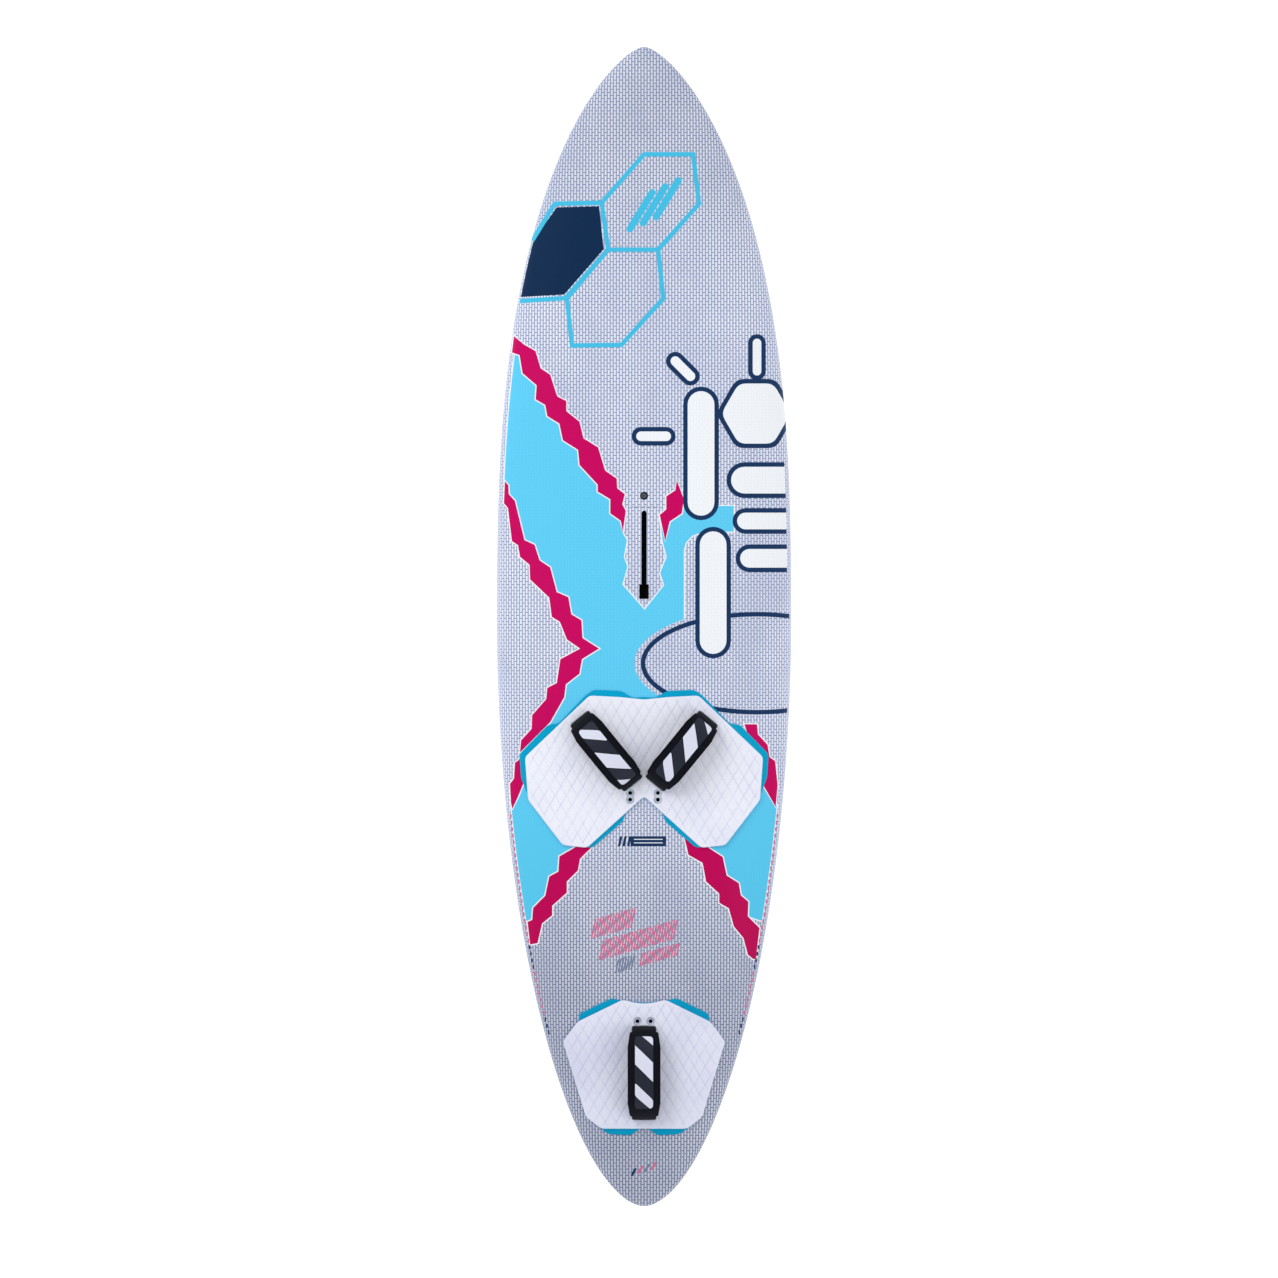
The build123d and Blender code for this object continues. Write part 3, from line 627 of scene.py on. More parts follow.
def plug_finish(name, x, station, pitch):
    """Pale moulded plastic, painted near-black round each screw hole as painted shade down the hole."""
    pale = linear(240, 242, 252)
    look = Look(name, pale, 0.6, 0.2)
    aside = abs(abs(look.x) - x)
    ahead = abs(((look.y - (station - MAST_STATION)) / pitch + 0.5).part() - 0.5) * pitch
    from_hole = (aside * aside + ahead * ahead).math("SQRT")
    tone = look.blend(look.noise(5) * 0.2, pale, linear(214, 217, 232))
    # Painted shade: a near-black disc round each hole stands in for the shade inside it.
    return look.paint(look.blend(from_hole.step(4.0, 3.6), tone, linear(6, 8, 14))).material


def foam(name, colour, cell):
    """Beaded foam, seen only where the board is cut open."""
    look = Look(name, colour, 0.9)
    beads = look.noise(cell, detail=1)
    tone = look.blend(beads.step(0.35, 0.6), dimmed(colour, 0.75), colour)
    return look.paint(tone).relief(beads, 0.4).material


def fin_finish():
    """Polished glass laminate: faint glass cloth under resin, a little darker towards the thick middle."""
    look = Look("fin_laminate_finish", linear(24, 44, 74), 0.16, Coat_Weight=0.6, Coat_Roughness=0.05)
    cloth = abs(((look.y + look.z) / 1.8).part() - 0.5) * abs(((look.y - look.z) / 1.8).part() - 0.5) * 4
    contour = abs((look.x.math("ABSOLUTE") * 2.4 + look.noise(60) * 0.4).part() - 0.5) * 2
    layers = cloth * 0.35 + contour.step(0.0, 0.3) * 0.3
    tone = look.blend(layers, linear(16, 34, 62), linear(44, 76, 112))
    return look.paint(tone).rough(look.noise(20) * 0.08 + 0.12).material


MAGENTA = linear(206, 0, 98)
# Painted shade: magenta darker towards the tail, where the light falls off.
MAGENTA_TAIL_SHADE = linear(186, 0, 82)
SKY_BLUE = linear(98, 210, 250)
# Painted shade: sky blue darker towards the tail, where the light falls off.
SKY_BLUE_TAIL_SHADE = linear(86, 198, 236)
TURQUOISE = linear(72, 195, 234)
NAVY_FILL = linear(14, 46, 82)
NAVY_LINE = linear(26, 56, 98)
PRINT_WHITE = linear(246, 250, 255)
PALE_PINK = linear(207, 112, 150)
PALE_GREY = linear(120, 130, 160)


# ---- The deck's printed graphics ----
LINE = 2.2                   # white line around the zigzag bands
RAIL_MARGIN = 11             # the print stops this far inside the outline


def rail_line(first, last, side, margin=RAIL_MARGIN, count=12):
    """Points along one rail, a little inside the outline."""
    stations = [first + (last - first) * k / count for k in range(count + 1)]
    return [(side * (float(half_width(s)) - margin), s) for s in stations]


# Band A comes down from the left rail to the mast slot, B goes to a point and back, C and D cross the tail.
A_UPPER = [(-258, 1726), (-238, 1709), (-215, 1696), (-205, 1662), (-186, 1649), (-172, 1606), (-154, 1597),
           (-154, 1577), (-128, 1556), (-120, 1523), (-91, 1505), (-77, 1459), (-54, 1443), (-53, 1424),
           (-38, 1412), (-43, 1392), (-36, 1379), (-41, 1345)]
A_LOWER = [(-262, 1693), (-247, 1688), (-241, 1652), (-213, 1628), (-215, 1600), (-196, 1589), (-192, 1567),
           (-168, 1552), (-161, 1519), (-131, 1500), (-128, 1470), (-92, 1431), (-92, 1417), (-67, 1402),
           (-67, 1374), (-46, 1359), (-42, 1336)]
B_POINT = (-89, 1106)
B_NOTCH = (-127, 1106)
B_OUTER = [(-276, 1438), (-269, 1430), (-268, 1412), (-256, 1399), (-237, 1321), (-217, 1312), (-207, 1281),
           (-186, 1267), (-173, 1218), (-150, 1208), (-144, 1174), (-124, 1162), (-122, 1127), B_POINT]
B_INNER = [(-278, 1394), (-270, 1385), (-262, 1319), (-250, 1311), (-246, 1288), (-227, 1272),
           (-226, 1243), (-188, 1207), (-183, 1169), (-167, 1159), (-153, 1124), B_NOTCH]
B_BACK_OUTER = [B_POINT, (-123, 1085), (-128, 1056), (-155, 1035), (-158, 1010), (-186, 960)]
B_BACK_INNER = [B_NOTCH, (-166, 1085), (-173, 1038), (-192, 1028), (-194, 1006), (-222, 974),
                (-223, 947), (-244, 924), (-246, 900)]
C_OUTER = [(-120, 735), (-137, 712), (-168, 694), (-170, 664), (-188, 654), (-196, 616), (-220, 592),
           (-222, 568), (-231, 564), (-226, 519)]
C_INNER = [(-84, 735), (-105, 711), (-127, 689), (-131, 666), (-153, 644), (-153, 622), (-182, 596),
           (-182, 577), (-202, 561), (-211, 522)]
D_OUTER = [(128, 735), (128, 711), (156, 693), (164, 656), (188, 641), (192, 617), (207, 604), (206, 575),
           (229, 552), (222, 491)]
D_INNER = [(79, 735), (88, 697), (116, 681), (123, 644), (149, 620), (149, 602), (168, 591), (178, 555),
           (197, 532), (206, 499), (217, 490)]
SPEAR = [(-41, 1333), (-34, 1321), (-40, 1288), (-33, 1268), (-43, 1233), (1, 1183),
         (40, 1232), (32, 1256), (45, 1288), (37, 1318), (31, 1371), (44, 1382)]
SHORT_BAND = [(65, 1440), (79, 1402), (75, 1374), (51, 1358), (42, 1319), (31, 1371), (44, 1382),
              (44, 1408), (62, 1420)]
SIDE_BAND = [(199, 956), (224, 956), (226, 936), (245, 915), (249, 891), (260, 883), (265, 835),
             (261, 792), (236, 836)]
LEFT_BAND = [(-226, 915), (-250, 884), (-256, 880), (-258, 848), (-266, 838), (-264, 800), (-261, 788),
             (-250, 812), (-236, 846)]
HEXAGON_TOP = [(0, 2086), (97, 2086), (109, 1988), (28, 1897), (-71, 1897), (-84, 1990)]
HEXAGON_LEFT = [(-222, 1915), (-177, 1988), (-84, 1990), (-71, 1897), (-156, 1801), (-246, 1795)]
HEXAGON_LOW = [(-71, 1897), (28, 1897), (38, 1800), (-45, 1708), (-143, 1707), (-153, 1800)]
RING_MIDDLE = (224, 1077)
RING_RADIUS = 226
RING_STRETCH = 0.43


def blue_field():
    """From band A round the mast slot to band B, and down under the front pad."""
    left = rail_line(1690, 1440, -1)
    right = [(62, 1420), (79, 1400), (92, 1392), (110, 1389), (178, 1389), (178, 1338), (116, 1337),
             (96, 1330), (83, 1316), (79, 1301), (79, 1000), (0, 930)]
    down = left + B_OUTER + B_BACK_OUTER[1:] + [(-190, 900), (0, 930)]
    return A_LOWER[::-1] + down + right[-2::-1] + SPEAR[::-1]


def deck_prints():
    """The printed shapes, each a list of outlines with its ink, in the order they are laid down."""
    prints = []

    def lay(name, *outlines):
        prints.extend((name, outline) for outline in outlines)

    def band(outline):
        lay("white", grown(outline, LINE))
        lay("magenta", outline)

    lay("white", grown(blue_field(), LINE))
    lay("blue", blue_field())
    lay("weave", circle(RING_RADIUS + 17, RING_MIDDLE, 72, RING_STRETCH * 1.04))
    lay("navy", *stroke(circle(RING_RADIUS, RING_MIDDLE, 72, RING_STRETCH), 9, closed=True))
    lay("weave", rail_line(960, 1190, 1, 4) + rail_line(1190, 960, 1, -20))
    for side, outer, inner in ((-1, C_OUTER, C_INNER), (1, D_OUTER, D_INNER)):
        area = rail_line(796, 566, side) + outer[-3::-1] + [(side * 160, 800), (side * 226, 860)]
        lay("white", grown(area, LINE))
        lay("blue", area)
        band(outer + inner[::-1])
    band(A_UPPER + A_LOWER[::-1])
    band(B_OUTER + B_BACK_OUTER[1:] + B_BACK_INNER[::-1] + B_INNER[-2::-1])
    for outline in (SHORT_BAND, SIDE_BAND, LEFT_BAND):
        band(outline)

    lay("navy_fill", [(-173, 1981), (-89, 1983), (-80, 1898), (-158, 1808)] + rail_line(1803, 1918, -1, 5))
    for outline, closed in ((HEXAGON_TOP, True), (HEXAGON_LEFT, False), (HEXAGON_LOW, True)):
        lay("turquoise", *stroke(outline, 9, closed=closed))
    for step in range(3):
        start = (-28 + 26 * step, 1938 + 12 * step)
        lay("turquoise", capsule(start, (start[0] + 44, start[1] + 72), 7))
    lay_bars(lay)
    lay_small_marks(lay)
    return prints


def lay_bars(lay):
    """Plain white bars and rings with a navy line, in place of the printed figure along the right rail."""
    pills = [((224, 1712), (224, 1656), 13), ((62, 1676), (92, 1646), 14), ((-6, 1527), (44, 1527), 14)]
    bars = [((113, 1590), (113, 1396), 31), ((137, 1312), (137, 1122), 31)]
    rungs = [(168, 1440, 62), (180, 1359, 42), (186, 1285, 46)]
    for start, end, radius in pills + bars:
        lay("navy", capsule(start, end, radius + 4.5))
        lay("white", capsule(start, end, radius - 4.5))
    hexagon = circle(74, (222, 1572), 6)
    lay("navy", rounded(grown(hexagon, 4.5), 16))
    lay("white", rounded(grown(hexagon, -4.5), 14))
    for start, station, width in rungs:
        for name, radius in (("navy", width / 2 + 4.5), ("white", width / 2 - 4.5)):
            cut = rail_line(station - radius, station + radius, 1, 8, 2)
            turn = [math.radians(90 + 15 * k) for k in range(13)]
            middle = start + width / 2
            lay(name, [(middle + radius * math.cos(a), station + radius * math.sin(a)) for a in turn] + cut)


def hatched(lay, name, start, length, height, lean=0.28, pitch=5.2):
    """A slanted strip of fine bars, in place of lettering."""
    wide, slant = pitch * 0.62, height * 0.22
    for k in range(int(length / pitch)):
        x = start[0] + k * pitch
        station = start[1] + k * pitch * lean
        lay(name, [(x, station), (x + wide, station + wide * lean),
                   (x + wide + slant, station + wide * lean + height), (x + slant, station + height)])


def lay_small_marks(lay):
    """Plain strips, hatched strips and dashes where the board carries small lettering."""
    lay("navy", [(-27, 714), (44, 714), (44, 734), (-27, 734)])
    for x in (-52, -43, -34):
        lay("navy", [(x, 714), (x + 5, 714), (x + 9, 734), (x + 4, 734)])
    for station in (720, 727):
        lay("white", [(-20, station), (37, station), (37, station + 1.6), (-20, station + 1.6)])
    hatched(lay, "pink", (-106, 530), 84, 40)
    hatched(lay, "pink", (-90, 488), 152, 40)
    hatched(lay, "grey", (-58, 462), 40, 28)
    hatched(lay, "pink", (-10, 476), 78, 26)
    for side in (-1, 1):
        for k in range(34):
            station = 770 - 13 * k
            x = side * (float(half_width(station)) - 6)
            name = "navy" if 20 <= k <= 23 or k >= 31 else "pink"
            inner = x - side * 3.4
            lay(name, [(x, station), (inner, station), (inner, station + 7), (x, station + 9)])
    for k, name in enumerate(("navy", "pink", "grey", "pink")):
        x = -24 + 13 * k
        lay(name, capsule((x, 62 + 4 * k), (x + 7, 74 + 4 * k), 2.4, 4))
    for x in range(-24, 30, 6):
        lay("grey", [(x, 1386), (x + 4, 1386), (x + 4, 1387.4), (x, 1387.4)])


# ---- Hull skins ----
ROWS, COLUMNS = 250, 56
FLAT_SCALE = 300


def to_flat(places):
    """Where an (x, station) lies on the flat field that the deck is cut on: rail to rail, tip to tip."""
    x, station = np.asarray(places, float).T
    share = x / half_width(np.clip(station, 0.4, LENGTH - 0.4))
    across = np.arcsin(np.clip(share, -1, 1)) * 2 / math.pi + (share - np.clip(share, -1, 1))
    along = np.arcsin(np.sqrt(np.clip(station / LENGTH, 0, 1))) * 2 / math.pi
    return np.stack([across * FLAT_SCALE, along * LENGTH], 1)


def from_flat(flat):
    """The way back: how far round the section, and the station."""
    across = np.clip(flat[:, 0] / FLAT_SCALE, -1, 1)
    station = LENGTH * np.sin(flat[:, 1] / LENGTH * math.pi / 2) ** 2
    return across, station


def hull_skin(name, side, prints, openings, materials, fallback):
    """One skin of the hull, cut along its prints, open where fittings come through."""
    low, high = to_flat([(0, 0.4), (0, LENGTH - 0.4)])[:, 1]
    field = [(-FLAT_SCALE + 2 * FLAT_SCALE * c / COLUMNS, low + (high - low) * r / ROWS)
             for r in range(1, ROWS) for c in range(1, COLUMNS)]
    frame_shape = [(-FLAT_SCALE, low), (FLAT_SCALE, low), (FLAT_SCALE, high), (-FLAT_SCALE, high)]
    shapes = [dense(frame_shape, (high - low) / ROWS)]
    keys = [fallback]
    for key, outline in prints + [("open", outline) for outline in openings]:
        shapes.append(to_flat(dense(outline, 12)).tolist())
        keys.append(key)
    flat, triangles, owners = tile(field, shapes)
    middles = flat[triangles].mean(axis=1)
    solid = (owners >= 0) & (np.abs(middles[:, 0]) < FLAT_SCALE)
    solid &= np.array([keys[owner] != "open" for owner in owners])
    triangles, owners = triangles[solid], owners[solid]
    flat, triangles = compact(flat, triangles)
    across, station = from_flat(flat)
    if side < 0:
        triangles = triangles[:, ::-1]
    names = list(materials)
    slots = [names.index(keys[owner]) for owner in owners]
    top = on_hull(across, station, side)
    normals = hull_normals(across, station, side)
    piece = sheet(name, top, top - normals * SKIN, triangles, list(materials.values()), slots)
    give(piece, girth=np.tile(girth(across, station, side), 2), rail=np.tile(np.abs(across), 2))
    mesh = piece.data
    corners = np.zeros((len(mesh.loops), 3))
    places = np.zeros(len(mesh.loops), np.int32)
    mesh.loops.foreach_get("vertex_index", places)
    outside = np.repeat(np.arange(len(mesh.polygons)) < len(triangles), [p.loop_total for p in mesh.polygons])
    corners[outside] = normals[places[outside]]
    mesh.normals_split_custom_set(corners.tolist())
    return piece


SLOT_WIDTH, SLOT_LENGTH, SLOT_ENTRY = 10, 147, (19, 29)
VENT_STATION, VENT_RADIUS = MAST_STATION + 103, 8.1
PLUG_WIDTH = 17.2


def mast_opening():
    """The slot with its round front end and its wide square mouth."""
    half, long = SLOT_WIDTH / 2, SLOT_LENGTH / 2
    wide, rear = SLOT_ENTRY[0] / 2, SLOT_LENGTH / 2 + SLOT_ENTRY[1] - 1
    front = [(half * math.sin(a), MAST_STATION + long - half + half * math.cos(a))
             for a in np.linspace(math.pi / 2, -math.pi / 2, 13)]
    mouth = [(-half, MAST_STATION - long + 1), (-wide, MAST_STATION - long + 1), (-wide, MAST_STATION - rear),
             (wide, MAST_STATION - rear), (wide, MAST_STATION - long + 1), (half, MAST_STATION - long + 1)]
    return front + mouth


# ---- Footstraps: where each one's plugs and ends are ----
FRONT_OUTER, FRONT_INNER = (121, 960), (27.5, 846.2)
REAR_FRONT, REAR_BACK = (0, 347), (0, 184)
PLUG_PITCH = 13.2            # from one screw hole to the next along a front plug
REAR_SCREW = 13              # the rear strap's screws, either side of the middle
REAR_PLUGS = ((327, 367), (184, 224))
SPARE_HOLE = 8.4             # radius of the pads' openings over the spare screw holes


def deck_openings():
    """The holes in the deck for the mast track, the vent and the straps' plugs."""
    openings = [mast_opening(), circle(VENT_RADIUS, (0, VENT_STATION), 40)]
    half = PLUG_WIDTH / 2
    for sign in (-1, 1):
        for (x, station), behind in ((FRONT_OUTER, 2), (FRONT_INNER, 3)):
            ends = station - behind * PLUG_PITCH, station + PLUG_PITCH
            openings.append(capsule((sign * x, ends[0]), (sign * x, ends[1]), half))
    wide = REAR_SCREW + half
    for first, last in REAR_PLUGS:
        low, high = first - half, last + half
        openings.append(rounded([(-wide, low), (wide, low), (wide, high), (-wide, high)], 10))
    return openings


FIN_BOX_WIDTH, FIN_BOX_GAP = 36, 0.1
FIN_TOE = math.radians(2.5)
CORNERS = ((1, 1), (1, -1), (-1, -1), (-1, 1))


def fin_openings():
    """The flanges of the three fin boxes, seen from above."""
    shapes = []
    for node in ("centre_fin_box", "left_fin_box", "right_fin_box"):
        low, high = (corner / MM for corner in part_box(node))
        middle = Vector(((low.x + high.x) / 2, (low.y + high.y) / 2 + MAST_STATION))
        toe = 0 if "centre" in node else FIN_TOE * (1 if middle.x < 0 else -1)
        ahead = Vector((math.sin(toe), math.cos(toe)))
        aside = Vector((math.cos(toe), -math.sin(toe))) * (FIN_BOX_WIDTH / 2 + FIN_BOX_GAP)
        ahead *= (high.y - low.y - FIN_BOX_WIDTH * abs(math.sin(toe))) / 2 + FIN_BOX_GAP
        shapes.append(rounded([tuple(middle + ahead * a + aside * b) for a, b in CORNERS], 12))
    return shapes


# ---- Pads ----
PAD_BASE, PAD_TOP, BOND = 3.0, 6.0, 0.1
FRONT_PAD_TOP = [(0, 813), (113, 711), (161, 716), (230, 806), (236, 891), (108, 1013), (48, 1010), (0, 1005)]
FRONT_PAD_BASE = [(0, 812), (37, 779), (42, 763), (103, 711), (150, 716), (230, 815), (244, 850), (247, 897),
                  (190, 955), (170, 957), (116, 1013), (100, 1024), (45, 1022), (22, 1008), (0, 1010)]
REAR_PAD_TOP = [(0, 154), (85, 154), (115, 177), (161, 327), (132, 366), (42, 410), (20, 404), (0, 402)]
REAR_PAD_BASE = [(0, 157), (12, 152), (26, 141), (70, 143), (88, 156), (112, 176), (158, 327), (130, 366),
                 (128, 382), (64, 413), (42, 407), (0, 404)]
DIAMOND = (22, 37)           # one moulded scale, across and along
GROOVE = 0.85                # half-width and depth of the lines between the scales


def scale_shares(places):
    """How far each place lies through its scale, in the two slanted directions."""
    p = places[:, 0] / DIAMOND[0] + places[:, 1] / DIAMOND[1]
    q = places[:, 0] / DIAMOND[0] - places[:, 1] / DIAMOND[1]
    return p % 1, q % 1


def scale_field(outline):
    """A slanted lattice that crowds along the lines between the scales."""
    low, high = np.min(outline, axis=0), np.max(outline, axis=0)
    steps = np.array([0.0, 0.045, 0.09, 0.25, 0.42, 0.58, 0.75, 0.91, 0.955])
    reach = int(high[1] / DIAMOND[1] + high[0] / DIAMOND[0]) + 2
    line = (np.arange(-reach, reach + 1)[:, None] + steps).ravel()
    p, q = np.meshgrid(line, line)
    places = np.stack([(p + q) / 2 * DIAMOND[0], (p - q) / 2 * DIAMOND[1]], -1).reshape(-1, 2)
    near = (places > low - 1).all(axis=1) & (places < high + 1).all(axis=1)
    return places[near]


def scale_relief(places):
    """Height of the moulded scales, and how deep each place lies in a crease (0 to 1)."""
    p, q = scale_shares(places)
    across = 1 / math.hypot(1 / DIAMOND[0], 1 / DIAMOND[1])
    to_line = np.minimum(np.minimum(p, 1 - p), np.minimum(q, 1 - q)) * across
    t = np.clip(to_line / GROOVE, 0, 1)
    crease = 1 - t * t * (3 - 2 * t)
    tilt = 0.55 * (q - p) * (1 - crease)
    crown = 0.5 * np.sin(math.pi * p) * np.sin(math.pi * q)
    return tilt + crown - GROOVE * crease, crease


def grid_field(outline, pitch):
    """A square lattice over an outline's own box."""
    low, high = np.min(outline, axis=0), np.max(outline, axis=0)
    xs, stations = np.arange(low[0], high[0], pitch), np.arange(low[1], high[1], pitch)
    return np.stack(np.meshgrid(xs, stations), -1).reshape(-1, 2)


def pad(name, corners, low, high, material, openings, moulded, edge):
    """A foam sheet on the deck with rounded edges, and with moulded scales if it is a top layer."""
    outline = ccw(rounded(both_sides(corners), 7))
    field = scale_field(outline) if moulded else grid_field(outline, 9)
    clear = inside(field, outline) & (edge_distance(field, outline) > edge + 0.5)
    for opening in openings:
        clear &= ~inside(field, opening) & (edge_distance(field, opening) > 1.6)
    rings = [dense(outline, 7), dense(grown(outline, -edge * 0.3), 7), dense(grown(outline, -edge), 7)]
    around = [dense(grown(opening, 1.0), 5) for opening in openings]
    flat, triangles, owners = tile(field[clear], rings + around + [dense(opening, 5) for opening in openings])
    solid = (owners >= 0) & (owners < len(rings) + len(around))
    triangles, owners = triangles[solid], owners[solid]
    flat, triangles = compact(flat, triangles)
    to_edge = edge_distance(flat, outline)
    lift = np.full(len(flat), high)
    crease = np.zeros(len(flat))
    if moulded:
        relief, crease = scale_relief(flat)
        fade = np.clip((to_edge - edge) / 7, 0, 1)
        for opening in openings:
            fade *= np.clip((edge_distance(flat, opening) - 1) / 4, 0, 1)
        lift += relief * fade - 0.35
        crease *= fade
    short = np.clip(1 - to_edge / edge, 0, 1)
    lift -= edge * 0.8 * (1 - np.sqrt(1 - short**2))
    for opening in openings:
        lift -= 0.6 * np.clip(1 - edge_distance(flat, opening), 0, 1)
    piece = sheet(name, on_deck(flat, lift), on_deck(flat, low), triangles, [material], sharp=50)
    give(piece, crease=np.concatenate([crease, np.zeros(len(flat))]))
    return piece


# ---- Footstraps ----
STRAP_LEVEL = PAD_BASE + PAD_TOP - 1.5
STRAP_RISE = 58
ARCH_POWER = 2.5
OVERHANG = 10
WEBBING_WIDTH, WEBBING_THICK = 44, 2.3
COVER_LOW = 25
SLEEVE_LOW, SLEEVE_WIDTH, SLEEVE_THICK = 4.5, 48, 1.6
COVER_WIDTH, COVER_NARROWING = 63, 0.19
BINDING_REACH, BINDING_RADIUS = 30, 2.6
FILL_CAP = 2.4               # how far the filling may push a point of the cover outwards
RECESS = (11.5, 23.6)        # half-length and half-width of the pads' openings round a strap's end
COVER_OUTER, COVER_INNER = 5.0, 6.5   # how far the cover stands outside and inside the webbing's outer face
PANEL_ENDS, PANEL_WIDTH = (-72, 84), 38
# The panel's slanted stripes, from its plain end: tone, and where each begins and ends along the middle.
STRIPES = [("dark", -100, -61), ("light", -59, -32), ("dark", -30, 2), ("light", 5, 44), ("dark", 47, 76),
           ("light", 79, 110)]


class StrapFrame:
    """A strap's own frame: along between its two ends, across, and up from the deck."""

    def __init__(self, front, rear):
        ends = on_deck([front, rear])
        middle = ends.mean(axis=0)
        place = np.array([middle[0], middle[1] + MAST_STATION])
        step = 2.0
        across, along = (on_deck([place + d])[0] - on_deck([place - d])[0] for d in ((step, 0), (0, step)))
        self.along = (ends[0] - ends[1]) / np.linalg.norm(ends[0] - ends[1])
        up = np.cross(across, along)
        up -= self.along * (up @ self.along)
        self.up = up / np.linalg.norm(up)
        self.across = np.cross(self.up, self.along)
        self.reach = np.linalg.norm(ends[0] - ends[1]) / 2
        self.origin = middle + self.up * STRAP_LEVEL

    def place(self, points):
        """Points on the board, from (along, across, up)."""
        axes = np.array([self.along, self.across, self.up])
        return self.origin + np.asarray(points, float) @ axes

    def local(self, points):
        """The other way round: along, across and up of points on the board."""
        offset = points - self.origin
        return np.stack([offset @ self.along, offset @ self.across, offset @ self.up], 1)


def arch_path(reach, rise, lowest, count=48):
    """Points along the arch in its own plane, evenly spaced, both feet cut off at the lowest height."""
    angles = np.radians(np.linspace(0, 180, 721))
    u = reach * np.cos(angles)
    w = rise * np.sqrt(np.clip(1 - np.abs(np.cos(angles)) ** ARCH_POWER, 0, 1))
    keep = w >= lowest
    return even(np.stack([u[keep], w[keep]], 1), count)


def even(path, count):
    """The same path with evenly spaced points."""
    path = np.asarray(path, float)
    lengths = np.concatenate([[0], np.cumsum(np.linalg.norm(np.diff(path, axis=0), axis=1))])
    marks = np.linspace(0, lengths[-1], count)
    return np.stack([np.interp(marks, lengths, path[:, k]) for k in range(path.shape[1])], 1)


def path_normals(path):
    """Outward normals of a path in its own plane, and the distance travelled along it."""
    tangent = np.gradient(path, axis=0)
    tangent /= np.linalg.norm(tangent, axis=1, keepdims=True)
    travelled = np.concatenate([[0], np.cumsum(np.linalg.norm(np.diff(path, axis=0), axis=1))])
    return np.stack([tangent[:, 1], -tangent[:, 0]], 1), travelled


def sweep(frame_, name, path, section, material, body, widths=None):
    """A closed section (across, outwards) carried along a path (along, up)."""
    section = np.asarray(section, float)
    normals, travelled = path_normals(path)
    widths = np.ones(len(path)) if widths is None else widths
    rings = []
    for point, normal, width in zip(path, normals, widths):
        offset = point + section[:, 1:2] * normal
        rings.append(np.stack([offset[:, 0], section[:, 0] * width, offset[:, 1]], 1))
    piece = loft(name, frame_.place(np.array(rings)), material, body, 60)
    give(piece, across=np.tile(section[:, 0], len(path)), along=np.repeat(travelled, len(section)))
    return piece


def slab_section(width, low, high, edge, steps=10):
    """A flat section with rounded sides."""
    middle, half = (low + high) / 2, (high - low) / 2
    spread = np.linspace(-(width / 2 - edge), width / 2 - edge, steps)
    turn = np.radians(np.linspace(80, -80, 5))
    right = [(width / 2 - edge + edge * math.cos(a), middle + half * math.sin(a)) for a in turn]
    left = [(-x, 2 * middle - y) for x, y in right]
    return [(x, high) for x in spread] + right + [(x, low) for x in spread[::-1]] + left


def webbing(frame_, name, material):
    """One strap from tab to tab: flat under each washer, then up and over."""
    mid = WEBBING_THICK / 2
    arch = arch_path(frame_.reach + OVERHANG - mid, STRAP_RISE - mid, 8, 60)
    foot, start = np.array([frame_.reach + 1.5, mid + 0.05]), arch[0]
    bend = np.array([frame_.reach + OVERHANG - mid, mid + 0.05])
    turn = [(1 - t) ** 2 * foot + 2 * t * (1 - t) * bend + t * t * start for t in np.linspace(0, 1, 9)[:-1]]
    leg = [np.array([frame_.reach - 9.5, mid + 0.05])] + turn
    path = np.array(leg + list(arch) + [p * (-1, 1) for p in leg[::-1]])
    piece = sweep(frame_, name, path, slab_section(WEBBING_WIDTH, -mid, mid, 1.0), material, None)
    bend_with_strap(frame_, piece)
    return piece


def sleeves(frame_, name, material):
    """The cover's thin ends, drawn down over the webbing at both feet."""
    mid = WEBBING_THICK / 2
    path = arch_path(frame_.reach + OVERHANG - mid, STRAP_RISE - mid, SLEEVE_LOW, 400)
    for end, sign in (("front", 1), ("back", -1)):
        foot = path[(path[:, 1] < COVER_LOW + 6) & (path[:, 0] * sign > 0)]
        section = slab_section(SLEEVE_WIDTH, -mid - SLEEVE_THICK, mid + SLEEVE_THICK, 2.4)
        sleeve = sweep(frame_, name + "_" + end, even(foot, 14), section, material, None)
        bend_with_strap(frame_, sleeve)


def bend_with_strap(frame_, piece):
    """Bakes the piece's placement into its points."""
    origin, up = frame_.origin * MM, frame_.up * MM
    tuple(origin + up * 3)
    tuple(origin + up * 17)
    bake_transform(piece)


def cover_path(frame_, lowest, count):
    """The middle of the cover's thickness, and its share of the full width, less towards both ends."""
    outside = (COVER_OUTER - COVER_INNER) / 2
    reach = frame_.reach + OVERHANG + outside
    path = arch_path(reach, STRAP_RISE + outside, lowest, count)
    share = np.clip((np.abs(path[:, 0]) / reach - 0.62) / 0.38, 0, 1)
    return path, 1 - COVER_NARROWING * share


def blank_cover(frame_, name, body, material):
    """The cover before it is filled: thin, a little narrow, and closed."""
    path, widths = cover_path(frame_, COVER_LOW + 2, 64)
    half = (COVER_OUTER + COVER_INNER) / 2 - 2.2
    section = slab_section(COVER_WIDTH, -half, half, 3.4, 16)
    return sweep(frame_, name, path, section, material, body, widths)


def coordinates(mesh):
    flat = np.zeros(len(mesh.vertices) * 3, np.float32)
    mesh.vertices.foreach_get("co", flat)
    return flat.reshape(-1, 3).astype(float)


def apply_modifiers(piece):
    """The piece's mesh as its modifiers leave it, with no modifiers on it."""
    shaped = bpy.data.meshes.new_from_object(piece.evaluated_get(bpy.context.evaluated_depsgraph_get()))
    materials = [m for m in piece.data.materials]
    piece.modifiers.clear()
    piece.data = shaped
    shaped.materials.clear()
    for material in materials:
        shaped.materials.append(material)
    return piece


